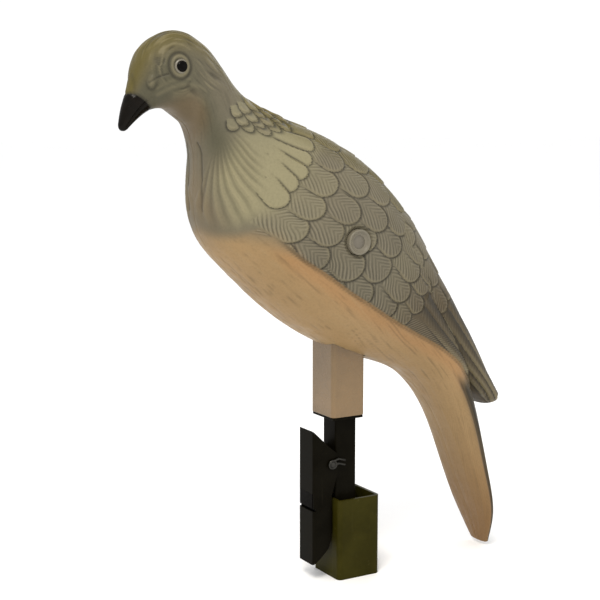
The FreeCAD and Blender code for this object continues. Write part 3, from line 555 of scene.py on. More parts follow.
def carve_tail(skin, relief):
    """Long shafts and edges of the tail feathers, and the side groove; painted shade lies in the grooves and
    notch.
    """
    s, h = skin.s, skin.h
    half = skin.girth[:, None] / 2
    on_tail = smooth(275, 300, s)
    place = h / half
    spread = place * (1 + 0.0012 * (s - 300))
    back = smooth(0.10, 0.16, place)
    shafts = np.cos(2 * np.pi * spread * 3.2)
    relief.height += on_tail * (0.22 * bell(1 - shafts, 0.12) + 0.10 * shafts) * (0.35 + 0.65 * back)
    darken(relief, 0.30 * on_tail * bell(1 + shafts, 0.10) * (0.12 + back))
    barbs = (s * 0.55 + np.abs(np.mod(spread * 3.2 + 0.5, 1.0) - 0.5) * 9) / 1.5
    relief.phase = np.where(on_tail > 0.01, barbs, relief.phase)
    relief.barb = np.maximum(relief.barb, 0.22 * on_tail)
    side = bell(place - 0.01, 0.05) * smooth(262, 276, s)
    relief.height -= 0.9 * side
    notch = bell(place - 0.08, 0.13) * smooth(268, 280, s) * smooth(326, 298, s)
    darken(relief, np.maximum(side, 0.9 * notch))


def carve_belly(skin, relief, tan):
    """Faint strokes that run along the tan underside, in painted shade and highlight."""
    s, h = skin.s, skin.h
    drift = h + 2.5 * value_noise(s * 0.02, h * 0.05, 41)
    strokes = value_noise(s * 0.085, drift * 0.9, 42) + 0.6 * value_noise(s * 0.14, drift * 1.9, 43)
    tan = tan * (1 - 0.6 * smooth(275, 300, s))
    relief.height += 0.12 * tan * strokes
    darken(relief, 0.34 * tan * smooth(0.25, 1.2, -strokes))
    lighten(relief, 0.35 * tan * smooth(0.4, 1.3, strokes))


def lay_plumage(skin, relief):
    """All the feathers of the flank and back, rear ones first, plain towards the breast."""
    s, h = skin.s, skin.h
    relief.tint -= 0.7
    lay_blades(skin, relief)
    for feather in wing_feathers(skin):
        lay_feather(relief, skin, **feather)
    melt = smooth(108, 121, s - 0.35 * np.clip(h + 18, -20, 10))
    melt = np.maximum(melt, smooth(-4, 4, h))
    flatten(relief, melt)
    tone = np.minimum(melt, smooth(109, 122, s))
    pale = smooth(70, 92, s) * smooth(-40, -14, h + 0.4 * (s - 112) * (s < 112))
    relief.tint = relief.tint * tone + 0.75 * (1 - tone)
    relief.tint = (relief.tint + 0.8) * pale - 0.8
    names = ("tip", "turn", "width", "length", "point", "barbs")
    for row in SCAPULARS[::-1]:
        lay_feather(relief, skin, lift=0.65, tint=0.8, open_from=0.05, **dict(zip(names, row)))
    for feather in nape_scales():
        lay_feather(relief, skin, **feather)


def carve_wing_edge(skin, relief):
    """The combed lower edge of the folded wing; gives the height over it and where it is wing."""
    s, h = skin.s, skin.h
    comb = 0.35 * np.sin(2 * np.pi * (s - 0.5 * h) / 1.7)
    above = h - wing_edge(s) + comb * smooth(122, 130, s)
    on_wing = smooth(-0.2, 0.9, above)
    behind = smooth(126, 146, s) * smooth(282, 272, s)
    keep = np.where(s > 116, on_wing, smooth(-26, -16, h))
    flatten(relief, keep)
    relief.height += 0.75 * on_wing * behind
    # Painted shadow along the lip under the wing's lower edge.
    lip = bell(above + 0.7, 0.8) * behind
    relief.height -= 0.30 * lip
    darken(relief, 0.42 * lip)
    hem = smooth(0, 1.5, above) * smooth(9, 4, above) * behind
    hem_barbs = (s - 0.5 * h) / 1.5
    plain = relief.barb < 0.3
    relief.phase = np.where(plain & (hem > 0.3), hem_barbs, relief.phase)
    relief.barb = np.where(plain, np.maximum(relief.barb, hem), relief.barb)
    relief.height += np.where(plain, 0.12 * hem * np.sin(2 * np.pi * hem_barbs), 0.0)
    return above, on_wing, behind


def colour_body(skin, relief, tan, above, on_wing, behind, tail_back):
    """How strong each tone of the paint is: tan, cool grey, brown, rust and dusk; and how strong the darker
    olive towards the top is.
    """
    s, h = skin.s, skin.h
    front = smooth(20, 34, -h) * smooth(122, 92, s) * smooth(54, 70, s)
    relief.tan = np.clip(tan + 0.22 * front, 0, 1)
    # Darker low on the breast front.
    darken(relief, 0.14 * front * (1 - tan))
    head = smooth(75, 50, s)
    # Darker olive towards the top of the back, reaching lower on the head.
    relief.olive = smooth(0.45 - 0.2 * head, 0.75, h / skin.top[:, None]) * (1 - relief.black)
    cool = bell(h + 12 - 0.25 * (s - 60), 9.0) * smooth(44, 54, s) * smooth(92, 74, s)
    cheek = smooth(66, 34, s) * (1 - relief.olive)
    relief.cool = np.clip(0.9 * cool + 0.9 * cheek, 0, 1)
    relief.brown = np.maximum(smooth(182, 226, s) * on_wing, 0.9 * tail_back)
    relief.dusk = smooth(285, 372, s)
    throat = smooth(-2, 9, -h - 5 - 0.05 * np.abs(s - 40)) * smooth(16, 21, s) * smooth(70, 48, s)
    under_edge = bell(above + 4, 5.0) * behind
    relief.warm = np.maximum(0.2 * throat * (1 - relief.black), 0.7 * tan * under_edge)


def settle_body(skin, relief):
    """Level the relief round the hub, under the wing tips, along the seam and at both ends."""
    s, h, height = skin.s, skin.h, relief.height
    hub = np.hypot(skin.points[:, :, 1] - SHAFT_Y, skin.points[:, :, 2] - SHAFT_Z)
    near_hub = smooth(8.2, 6.7, hub)
    height *= 1 - near_hub
    height -= 0.1 * near_hub
    high = smooth(0.60, 0.78, h / skin.top[:, None])
    height -= 1.6 * smooth(188, 202, s) * smooth(280, 268, s) * high
    columns = np.arange(s.shape[1])
    seam = np.minimum(columns, columns[::-1])[None, :]
    height *= smooth(-1, 6, seam)
    height -= 0.15 * (seam == 0)
    # Painted shade in the seam's groove along the back.
    darken(relief, 0.25 * (seam == 0) * (h > 0) * (1 - relief.black))
    height *= smooth(0.0, 3.0, s) * smooth(0.0, 4.0, s.max() - s)


def carve_body(skin):
    """The relief and colours of the dove's body, head and tail."""
    s, h = skin.s, skin.h
    relief = blank_relief(skin)
    lay_plumage(skin, relief)
    above, on_wing, behind = carve_wing_edge(skin, relief)
    blur = 12 * smooth(158, 122, s)
    tan = (1 - smooth(-0.2 - blur, 0.9 + 0.6 * blur, above)) * smooth(94, 124, s + 0.12 * (h + 30))
    tail_back = smooth(0.0, 0.06, h / (skin.girth[:, None] / 2)) * smooth(262, 278, s)
    tan = np.maximum(tan, smooth(266, 280, s)) * (1 - tail_back)
    carve_belly(skin, relief, tan)
    for carve in (carve_fan, carve_eye, carve_folds, carve_cere, carve_hair, carve_neck, carve_beak,
                  carve_tail):
        carve(skin, relief)
    colour_body(skin, relief, tan, above, on_wing, behind, tail_back)
    settle_body(skin, relief)
    return relief


def carve_wing(skin):
    """The folded wing tips: long blades under the last rows of short feathers."""
    relief = blank_relief(skin)
    s, h = skin.s, skin.h
    draw = np.random.default_rng(5)
    relief.tint -= 0.7
    # Even painted shade over the wing tips, left where no blade or feather covers them.
    relief.crevice += 0.36
    lay_blades(skin, relief)
    for k in range(3, -1, -1):
        row_s = 48 + 14.5 * k
        for j in range(6, -1, -1):
            where = -14 + 9.6 * j + 4.8 * (k % 2)
            lay_feather(relief, skin, tip=(row_s + draw.uniform(-1, 1), where), turn=draw.uniform(-5, 4),
                        width=10.6, length=22, point=5.2, lift=0.6, barbs=0.8, tint=draw.uniform(-1, -0.4))
    place = h / (skin.girth[:, None] / 2)
    under = smooth(-0.26, -0.36, place)
    flatten(relief, 1 - under)
    # Painted shadow along the lip under the wing tips.
    lip = bell(place + 0.33, 0.03) * smooth(70, 90, s)
    darken(relief, 0.5 * lip)
    relief.height -= 0.25 * lip
    relief.tan = under * smooth(100, 75, s)
    relief.olive = smooth(0.45, 0.9, place)
    relief.brown = smooth(55, 90, s)
    relief.height -= 2.2 * smooth(46, 30, s)
    relief.height *= smooth(0.0, 4.0, s.max() - s)
    return relief


# ---- mesh helpers

def new_object(name, data):
    thing = bpy.data.objects.new(name, data)
    bpy.context.scene.collection.objects.link(thing)
    return thing


def mesh_from(name, points, faces):
    """A mesh from points in mm."""
    mesh = bpy.data.meshes.new(name)
    mesh.from_pydata([tuple(p) for p in np.asarray(points) * MM], [], faces)
    mesh.validate()
    mesh.update()
    return mesh


def ring_faces(rings, sides):
    """Faces of a closed tube: its wall ring by ring, then both ends."""
    last = (rings - 1) * sides
    faces = []
    for row in range(0, last, sides):
        for j in range(sides):
            k = (j + 1) % sides
            faces.append([row + j, row + k, row + sides + k, row + sides + j])
    return faces + [list(range(sides))[::-1], list(range(last, last + sides))]


def set_smooth(mesh, angle):
    mesh.polygons.foreach_set("use_smooth", np.ones(len(mesh.polygons), bool))
    mesh.set_sharp_from_angle(angle=math.radians(angle))


def applied(thing):
    """Give an object the mesh that its modifiers make."""
    bpy.context.view_layer.update()
    graph = bpy.context.evaluated_depsgraph_get()
    mesh = bpy.data.meshes.new_from_object(thing.evaluated_get(graph))
    thing.modifiers.clear()
    thing.data = mesh
    return thing


def combine(thing, tool, operation):
    """Cut, join or intersect an object with another, which is used up."""
    step = thing.modifiers.new("combine", "BOOLEAN")
    step.operation = operation
    step.solver = "MANIFOLD"
    step.object = tool
    applied(thing)
    bpy.data.objects.remove(tool)
    return thing


def half_solid(name, skin, relief, side):
    """Closed solid of one half: the carved skin, the flat middle plane and both ends."""
    points = skin.points + skin.normal * relief.height[:, :, None]
    points[:, 0, 0] = points[:, -1, 0] = 0.0
    points[:, 1:-1, 0] = np.maximum(points[:, 1:-1, 0], 0.01)
    nose = np.clip(skin.s[:, 0] / 2.2, 0.0, 1.0)
    close = (0.3 + 0.7 * np.sqrt(1 - (1 - nose) ** 2))[:, None, None]
    core = points.mean(axis=1, keepdims=True) * np.array([0.0, 1.0, 1.0])
    points = core + (points - core) * close
    index = np.arange(skin.s.size).reshape(skin.s.shape)
    quads = np.stack([index[:-1, :-1], index[:-1, 1:], index[1:, 1:], index[1:, :-1]], axis=-1).reshape(-1, 4)
    middle = np.stack([index[:-1, 0], index[1:, 0], index[1:, -1], index[:-1, -1]], axis=-1)
    faces = np.concatenate([quads, middle]).tolist() + [index[0, ::-1].tolist(), index[-1].tolist()]
    flat = points.reshape(-1, 3)
    if side < 0:
        flat = flat * np.array([-1.0, 1.0, 1.0])
        faces = [face[::-1] for face in faces]
    mesh = mesh_from(name, flat, faces)
    for field in FIELDS:
        layer = mesh.attributes.new(field, "FLOAT", "POINT")
        layer.data.foreach_set("value", getattr(relief, field).reshape(-1).astype(np.float32))
    return new_object(name, mesh)


def hollow_solid(name, wall=SHELL_WALL):
    """Closed solid of the space inside the shells."""
    rows, angles = np.linspace(0, 1, 90), np.linspace(0, 2 * np.pi, 73)[:-1]
    points = loft(HOLLOW_SECTIONS, rows, angles, wall).reshape(-1, 3)
    return new_object(name, mesh_from(name, points, ring_faces(len(rows), len(angles))))


def rod(name, radius, x_low, x_high, y, z, sides=96):
    """Closed round rod along X, for cutting."""
    turn = np.linspace(0, 2 * np.pi, sides, endpoint=False)
    ring = np.column_stack([np.zeros(sides), y + radius * np.cos(turn), z + radius * np.sin(turn)])
    low, high = ring + [x_low, 0, 0], ring + [x_high, 0, 0]
    faces = [[j, (j + 1) % sides, sides + (j + 1) % sides, sides + j] for j in range(sides)]
    faces = [list(range(sides))[::-1], list(range(sides, 2 * sides))] + faces
    return new_object(name, mesh_from(name, np.concatenate([low, high]), faces))


def block(name, low, high, slope=0.0, centre=(0, 0)):
    """Closed block for cutting; a sloped one lies along the body about the centre (y, z)."""
    corners = [(x, y, z) for x in (low[0], high[0]) for y in (low[1], high[1]) for z in (low[2], high[2])]
    turn = Matrix.Rotation(-math.radians(slope), 3, "X")
    points = [np.array(turn @ Vector(c)) + [0, centre[0], centre[1]] for c in corners]
    faces = [[0, 1, 3, 2], [4, 6, 7, 5], [0, 4, 5, 1], [2, 3, 7, 6], [0, 2, 6, 4], [1, 5, 7, 3]]
    return new_object(name, mesh_from(name, points, faces))


def flank_block(name, inner_x, centre, size, gap=0.0):
    """Block through the right flank, from inner_x outwards, with a gap round its size."""
    half, rise = (size[0] + gap) / 2, (size[1] + gap) / 2
    return block(name, (-60, -half, -rise), (-inner_x, half, rise), BODY_SLOPE, centre)


# ---- materials

class Paint:
    """A Principled material and short ways to wire its nodes."""

    def __init__(self, name, roughness=0.5, metallic=0.0, coat=0.0, specular=0.5):
        self.material = bpy.data.materials.new(name)
        self.material.use_nodes = True
        self.tree = self.material.node_tree
        self.shader = self.tree.nodes["Principled BSDF"].inputs
        self.set("Roughness", roughness)
        self.set("Metallic", metallic)
        self.set("Coat Weight", coat)
        self.set("Specular IOR Level", specular)
        self.place = self.node("TexCoord").outputs["Object"]

    def put(self, socket, value):
        """Join a socket to an output, or set it to a number or a colour."""
        if isinstance(value, bpy.types.NodeSocket):
            self.tree.links.new(value, socket)
        elif isinstance(value, tuple) and socket.type == "RGBA":
            socket.default_value = (*value, 1.0)
        else:
            socket.default_value = value

    def set(self, name, value):
        self.put(self.shader[name], value)

    def node(self, kind, inputs=(), **settings):
        """A new node with its settings and the given inputs."""
        node = self.tree.nodes.new("ShaderNode" + kind)
        for name, value in settings.items():
            setattr(node, name, value)
        for key, value in dict(inputs).items():
            self.put(node.inputs[key], value)
        return node

    def attribute(self, name):
        return self.node("Attribute", attribute_name=name).outputs["Fac"]

    def math(self, operation, a, b=0.0, clamp=False):
        return self.node("Math", {0: a, 1: b}, operation=operation, use_clamp=clamp).outputs[0]

    def mix(self, factor, a, b, blend="MIX"):
        return self.node("Mix", {0: factor, 6: a, 7: b}, data_type="RGBA", blend_type=blend).outputs[2]

    def over(self, colour, mask, amount, tone, clamp=False):
        """A tone mixed over a colour, where a mask is set and up to an amount."""
        return self.mix(self.math("MULTIPLY", mask, amount, clamp), colour, tone)

    def span(self, value, low, high, out_low=0.0, out_high=1.0):
        limits = {0: value, 1: low, 2: high, 3: out_low, 4: out_high}
        return self.node("MapRange", limits, interpolation_type="SMOOTHSTEP").outputs[0]

    def noise(self, scale, detail=3.0, stretch=None):
        source = self.place
        if stretch is not None:
            source = self.node("Mapping", {"Vector": source, "Scale": stretch}).outputs["Vector"]
        settings = {"Scale": scale, "Detail": detail, "Roughness": 0.55, "Vector": source}
        return self.node("TexNoise", settings).outputs["Fac"]

    def bump(self, height, distance, strength):
        node = self.node("Bump", {"Strength": strength, "Distance": distance, "Height": height})
        self.set("Normal", node.outputs["Normal"])


def dove_paint():
    """Flat airbrushed paint: grey-olive above, tan below, with painted shade in grooves and highlights on
    raised parts.
    """
    paint = Paint("dove_paint", roughness=0.5, specular=0.12)
    cloud = paint.noise(28.0, 4.0)
    fine = paint.noise(900.0, 3.0)
    grey = paint.mix(paint.span(cloud, 0.35, 0.65), (0.108, 0.094, 0.064), (0.130, 0.112, 0.076))
    tint = paint.span(paint.attribute("tint"), -1.0, 1.0)
    grey = paint.mix(tint, grey, (0.214, 0.191, 0.112))
    patches = paint.span(paint.noise(14.0, 2.0), 0.52, 0.75, 0.0, 0.5)
    grey = paint.mix(patches, grey, (0.098, 0.092, 0.068))
    tan = paint.mix(paint.span(cloud, 0.3, 0.7), (0.288, 0.190, 0.092), (0.258, 0.168, 0.078))
    tan = paint.mix(paint.attribute("dusk"), tan, (0.185, 0.104, 0.042))
    for name, amount, tone in (("cool", 0.90, (0.063, 0.059, 0.036)), ("brown", 0.92, (0.070, 0.052, 0.029)),
                               ("olive", 0.88, (0.084, 0.067, 0.016))):
        grey = paint.over(grey, paint.attribute(name), amount, tone)
    colour = paint.mix(paint.attribute("tan"), grey, tan)
    colour = paint.over(colour, paint.attribute("warm"), 0.75, (0.30, 0.155, 0.062))
    wave = paint.math("SINE", paint.math("MULTIPLY", paint.attribute("phase"), 2 * math.pi))
    barb = paint.attribute("barb")
    # Painted shade in the barb grooves and painted highlights on their crests, in step with the bump.
    barb_shade = paint.math("MULTIPLY", paint.span(wave, -0.2, -1.0), barb)
    barb_highlight = paint.math("MULTIPLY", paint.span(wave, 0.2, 1.0), barb)
    colour = paint.over(colour, barb_shade, 0.50, (0.040, 0.037, 0.030))
    colour = paint.over(colour, barb_highlight, 0.28, (0.26, 0.232, 0.168))
    # Painted highlight on the raised parts.
    colour = paint.over(colour, paint.attribute("ridge"), 0.28, (0.28, 0.238, 0.140))
    # Painted shade in grooves and hollows.
    colour = paint.over(colour, paint.attribute("crevice"), 0.80, (0.016, 0.015, 0.012), clamp=True)
    speck = paint.span(fine, 0.30, 0.70, 0.93, 1.05)
    colour = paint.mix(1.0, colour, paint.mix(speck, (0, 0, 0), (1, 1, 1)), "MULTIPLY")
    paint.set("Base Color", paint.mix(paint.attribute("black"), colour, (0.005, 0.004, 0.0025)))
    paint.set("Roughness", paint.span(paint.noise(160.0), 0.3, 0.7, 0.38, 0.54))
    grain = paint.math("MULTIPLY", fine, 0.12)
    combed = paint.math("MULTIPLY", paint.math("MULTIPLY", wave, barb), 0.5)
    paint.bump(paint.math("ADD", grain, combed), 0.0001, 0.6)
    return paint.material


def speckled(name, colour, other, roughness, metallic=0.0, coat=0.0, grain=300.0, depth=0.00005,
             specular=0.5, spread=0.08):
    """A plain finish with cloudy colour, uneven gloss and fine grain."""
    paint = Paint(name, roughness, metallic, coat, specular)
    cloud = paint.noise(45.0, 4.0)
    fine = paint.noise(grain)
    base = paint.mix(paint.span(cloud, 0.35, 0.65), colour, other)
    paint.set("Base Color", paint.mix(paint.span(fine, 0.62, 0.80, 0.0, 0.5), base, other))
    smoothest = max(0.02, roughness - spread)
    paint.set("Roughness", paint.span(fine, 0.25, 0.75, smoothest, roughness + spread))
    paint.bump(fine, depth, 0.5)
    return paint.material


def worn_paint(name, colour, edge_colour, roughness, scratch, specular):
    """Paint on steel with fine scratches and a few bare flecks."""
    paint = Paint(name, roughness, 0.0, 0.0, specular)
    cloud = paint.noise(60.0, 5.0)
    marks = paint.span(paint.noise(500.0, 4.0, (1.0, 1.0, 0.06)), 0.66, 0.74, 0.0, scratch)
    flecks = paint.span(paint.noise(420.0, 2.0), 0.70, 0.76, 0.0, scratch)
    lighter = tuple(c * 1.5 + 0.001 for c in colour)
    base = paint.mix(marks, paint.mix(paint.span(cloud, 0.3, 0.7), colour, lighter), edge_colour)
    paint.set("Base Color", paint.mix(flecks, base, edge_colour))
    paint.set("Roughness", paint.span(cloud, 0.3, 0.7, roughness - 0.06, roughness + 0.1))
    paint.bump(paint.math("ADD", paint.noise(1400.0, 2.0), paint.math("MULTIPLY", marks, -1.5)), 0.00006, 0.5)
    return paint.material


DOVE = dove_paint()
BEAK = speckled("beak_paint", (0.0034, 0.0026, 0.0016), (0.008, 0.0052, 0.0028), 0.24, grain=260.0,
                specular=0.08)
POST = speckled("post_plastic", (0.178, 0.114, 0.054), (0.150, 0.098, 0.048), 0.28, coat=0.05, grain=180.0,
                specular=0.35)
HUB = speckled("hub_plastic", (0.140, 0.124, 0.090), (0.160, 0.140, 0.098), 0.42, specular=0.3)
OLIVE = worn_paint("olive_paint", (0.0185, 0.0160, 0.0012), (0.085, 0.072, 0.030), 0.36, 0.3, 0.04)
BLACK = worn_paint("black_paint", (0.0026, 0.0021, 0.0009), (0.028, 0.024, 0.014), 0.34, 0.2, 0.02)
RUBBER = speckled("black_rubber", (0.0022, 0.0020, 0.0016), (0.005, 0.0045, 0.004), 0.75, grain=700.0,
                  specular=0.04)
ZINC = speckled("zinc_steel", (0.42, 0.42, 0.40), (0.30, 0.30, 0.29), 0.32, metallic=1.0)
DARK_STEEL = speckled("dark_steel", (0.050, 0.048, 0.042), (0.030, 0.029, 0.026), 0.34, metallic=1.0)
SPRING = speckled("spring_steel", (0.22, 0.22, 0.21), (0.15, 0.15, 0.145), 0.35, metallic=1.0)
MAGNET = speckled("magnet_nickel", (0.118, 0.103, 0.076), (0.100, 0.088, 0.066), 0.42, metallic=0.15)
PLASTIC = speckled("black_plastic", (0.016, 0.016, 0.015), (0.025, 0.025, 0.023), 0.5, grain=900.0)
CELL = speckled("cell_jacket", (0.030, 0.045, 0.075), (0.045, 0.060, 0.085), 0.3, coat=0.4)
WIRE = speckled("wire_jacket", (0.16, 0.014, 0.012), (0.12, 0.011, 0.010), 0.42)
EYE_BLACK = speckled("eye_black", (0.003, 0.0025, 0.002), (0.005, 0.0045, 0.004), 0.10, depth=0.00001,
                     spread=0.03, specular=0.04)
EYE_RING = speckled("eye_ring", (0.125, 0.113, 0.086), (0.175, 0.160, 0.125), 0.35, specular=0.3)


def finish(thing, body, material, slot, *nodes):
    """Give a piece its material and its body, and hide the CAD nodes it stands for; slot is not used."""
    thing.data.materials.clear()
    thing.data.materials.append(material)
    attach(thing, body)
    if nodes:
        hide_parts(*nodes)
    return thing


# ---- dove

def body_row_spacing(s):
    """Distance between rows of points, closest over the flank and widest on the tail."""
    return 0.55 + 0.45 * smooth(285, 310, s) - 0.05 * smooth(70, 80, s) * smooth(285, 270, s)


def body_ring_spacing(arc):
    """Distance between points round a ring, wider towards the belly."""
    return 0.52 + 0.60 * smooth(86, 100, arc)


BODY_SKIN = half_skin(BODY_SECTIONS, 11, body_row_spacing, body_ring_spacing)
WING_SKIN = half_skin(WING_SECTIONS, 2, lambda s: 0.6 + 0 * s, lambda arc: 0.55 + 0 * arc)
BODY_RELIEF = carve_body(BODY_SKIN)
WING_RELIEF = carve_wing(WING_SKIN)


def shell_half(name, side):
    """One hollow half shell with its bosses, hub hole and the cut-out for the post."""
    outer = half_solid(name, BODY_SKIN, BODY_RELIEF, side)
    combine(outer, half_solid(name + "_wing", WING_SKIN, WING_RELIEF, side), "UNION")
    bosses = []
    for y, z in SHELL_SCREWS:
        boss = rod("boss", BOSS_RADIUS, min(0.0, 40.0 * side), max(0.0, 40.0 * side), y, z, 32)
        bosses.append(combine(boss, hollow_solid("boss_room", 0.5 * SHELL_WALL), "INTERSECT"))
    combine(outer, hollow_solid("hollow"), "DIFFERENCE")
    for boss in bosses:
        combine(outer, boss, "UNION")
    combine(outer, rod("hub_hole", HUB_HOLE, -60, 60, SHAFT_Y, SHAFT_Z), "DIFFERENCE")
    combine(outer, block("post_room", *POST_ROOM), "DIFFERENCE")
    if side < 0:
        for y, z in SHELL_SCREWS:
            combine(outer, rod("counterbore", COUNTERBORE, -60, -8, y, z, 40), "DIFFERENCE")
    return outer


def paint_beak(shell):
    """Give the faces of the beak their own glossy black paint."""
    mesh = shell.data
    mesh.materials.append(BEAK)
    values = np.zeros(len(mesh.vertices), np.float32)
    mesh.attributes["black"].data.foreach_get("value", values)
    for face in mesh.polygons:
        if min(values[corner] for corner in face.vertices) > 0.95:
            face.material_index = 1


def build_dove():
    """Both shells and the battery door, which is cut from the right shell."""
    left, right = shell_half("left_shell", 1), shell_half("right_shell", -1)
    door = new_object("door_panel", right.data.copy())
    combine(door, flank_block("door_cut", 12.0, DOOR, DOOR_SIZE), "INTERSECT")
    combine(right, flank_block("door_room", 12.0, DOOR, DOOR_SIZE, DOOR_GAP), "DIFFERENCE")
    combine(right, flank_block("switch_room", 24.0, SWITCH, SWITCH_SIZE), "DIFFERENCE")
    slope = math.radians(BODY_SLOPE)
    y, z = DOOR[0] - DOOR_SCREW * math.cos(slope), DOOR[1] + DOOR_SCREW * math.sin(slope)
    combine(door, rod("door_hole", 1.5, -60, 0, y, z, 32), "DIFFERENCE")
    finish(left, "decoy", DOVE, "dove_plastic", "left_body_shell")
    finish(right, "decoy", DOVE, "dove_plastic", "right_body_shell")
    finish(door, "battery_door", DOVE, "dove_plastic", "battery_door")
    for shell in (left, right, door):
        set_smooth(shell.data, 75.0)
    paint_beak(left)
    paint_beak(right)


def surface_at(place):
    """Nearest point of the left flank to a place in mm, and the normal there."""
    away = np.linalg.norm(BODY_SKIN.points - np.array(place), axis=2)
    where = np.unravel_index(np.argmin(away), away.shape)
    return BODY_SKIN.points[where], BODY_SKIN.normal[where]


def lathe(name, profile, centre, axis):
    """A turned shape: profile is (radius, along) pairs in mm, axis its direction."""
    angles = np.linspace(0, 2 * np.pi, 72, endpoint=False)
    turn = Vector((0, 0, 1)).rotation_difference(Vector(axis).normalized()).to_matrix()
    points = []
    for radius, along in profile:
        for angle in angles:
            local = turn @ Vector((radius * math.cos(angle), radius * math.sin(angle), along))
            points.append(np.array(local) + np.array(centre))
    mesh = mesh_from(name, points, ring_faces(len(profile), len(angles)))
    set_smooth(mesh, 50.0)
    return new_object(name, mesh)


# Outline of the iris, as (radius, along), and the pupil's radius.
IRIS = ((3.7, -2.2), (3.75, -0.9), (3.6, -0.25), (3.2, 0.15), (2.75, 0.25), (2.5, 0.0), (2.4, -0.6),
        (0.05, -0.7))
PUPIL = 2.62
SIDES = (("left", 1.0), ("right", -1.0))


def build_eyes():
    """A light iris ring with a glossy black pupil in each socket."""
    point, normal = surface_at(EYE_BALL)
    steps = np.linspace(0, math.pi / 2, 12)
    dome = [(PUPIL * math.cos(a) + 0.02, -0.25 + 1.15 * math.sin(a)) for a in steps]
    for name, side in SIDES:
        mirror = np.array([side, 1.0, 1.0])
        centre, axis = point * mirror, normal * mirror
        finish(lathe(name + "_eye_ring", IRIS, centre, axis), "decoy", EYE_RING, "dove_plastic")
        pupil = lathe(name + "_pupil", [(PUPIL, -0.9)] + dome, centre, axis)
        finish(pupil, "decoy", EYE_BLACK, "dove_plastic")


# ---- hard parts

def softened(name, node, body, material, slot, width, segments=2):
    """A copy of a CAD node with small rounded edges, in the node's place."""
    mesh = bmesh.new()
    mesh.from_mesh(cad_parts[node].data)
    bmesh.ops.remove_doubles(mesh, verts=mesh.verts, dist=2e-6)
    bmesh.ops.dissolve_limit(mesh, angle_limit=math.radians(1.0), verts=mesh.verts, edges=mesh.edges)
    data = bpy.data.meshes.new(name)
    mesh.to_mesh(data)
    mesh.free()
    thing = new_object(name, data)
    step = thing.modifiers.new("round", "BEVEL")
    step.width = width * MM
    step.segments = segments
    step.limit_method = "ANGLE"
    step.angle_limit = math.radians(35.0)
    step.use_clamp_overlap = True
    applied(thing)
    set_smooth(thing.data, 60.0)
    weight = thing.modifiers.new("normals", "WEIGHTED_NORMAL")
    weight.keep_sharp = True
    applied(thing)
    return finish(thing, body, material, slot, node)


def tube(name, points, radius, sides):
    """A round wire along a fine path in mm."""
    tangent = np.gradient(points, axis=0)
    tangent /= np.linalg.norm(tangent, axis=1, keepdims=True)
    side = np.cross(tangent[0], [0.31, 0.52, 0.79])
    turn = np.linspace(0, 2 * np.pi, sides, endpoint=False)[:, None]
    rings = []
    for point, way in zip(points, tangent):
        side = side - way * (side @ way)
        side /= np.linalg.norm(side)
        rings.append(point + radius * (np.cos(turn) * side + np.sin(turn) * np.cross(way, side)))
    mesh = mesh_from(name, np.concatenate(rings), ring_faces(len(points), sides))
    set_smooth(mesh, 60.0)
    return new_object(name, mesh)


def build_spring():
    """Torsion spring round the pin; its two legs press on the lever's web."""
    radius, wire, reach, turns = 2.1, 0.55, 4.3, 7
    pivot = np.array([0.0, -13.9, 61.5])
    web = pivot[1] - 9.45
    turned = np.radians(np.linspace(90, 219 - turns * 360, 340))
    coil = np.stack([np.linspace(-reach, reach, len(turned)), pivot[1] + radius * np.cos(turned),
                     pivot[2] + radius * np.sin(turned)], axis=1)
    knee, end = np.array([0, web, pivot[2] + 9]), np.array([0, web, pivot[2] + 13])
    steps = np.linspace(0, 1, 12)[:-1, None]
    parts = []
    for x, foot in ((-reach, coil[0]), (reach, coil[-1])):
        top, bend = end + (x, 0, 0), knee + (x, 0, 0)
        parts.append(np.concatenate([top + (bend - top) * steps, bend + (foot - bend) * steps]))
    path = np.concatenate([parts[0], coil, parts[1][::-1]])
    spring = tube("torsion_spring", path, wire, 12)
    spring.data.materials.append(SPRING)
    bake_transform(spring)
    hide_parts("clamp_spring")


# Piece, CAD node, body, material, slot, width of the rounded edges and how many segments they have.
HARD_PARTS = (
    ("pole_body", "pole_tube", "pole", OLIVE, "olive_paint", 0.35),
    ("peg_body", "peg_tube", "clamp_mount", BLACK, "black_paint", 0.3),
    ("flange_plate", "peg_flange", "clamp_mount", BLACK, "black_paint", 0.3),
    ("pivot_ears", "pivot_bracket", "clamp_mount", BLACK, "black_paint", 0.25),
    ("pivot_rivet", "pivot_pin", "clamp_mount", DARK_STEEL, "zinc_steel", 0.3),
    ("lever_channel", "clip_lever", "clip_lever", BLACK, "black_paint", 0.3),
    ("grip_pad", "jaw_pad", "clip_lever", RUBBER, "black_rubber", 0.4),
    ("web_band", "pad_band", "clip_lever", RUBBER, "black_rubber", 0.15),
    ("leg", "leg_post", "decoy", POST, "post_plastic", 0.9, 3),
    ("door_fastener", "door_screw", "battery_door", ZINC, "zinc_steel", 0.25),
    ("switch_bezel", "switch_housing", "decoy", PLASTIC, "black_plastic", 0.4),
    ("switch_slide_knob", "switch_knob", "switch_slider", PLASTIC, "black_plastic", 0.2),
)
# CAD nodes shown as they are, with the material of each.
KEPT = {
    "pin_retainer": DARK_STEEL, "shell_screws": ZINC, "wing_shaft": ZINC, "motor_can": ZINC,
    "motor_clamp": PLASTIC, "clamp_screws": ZINC, "battery_box": PLASTIC, "battery_cell_1": CELL,
    "battery_cell_2": CELL, "battery_cell_3": CELL, "battery_cell_4": CELL, "battery_contacts": SPRING,
    "wire_leads": WIRE,
}


def paint_kept_nodes():
    for node, material in KEPT.items():
        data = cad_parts[node].data
        data.materials.clear()
        data.materials.append(material)


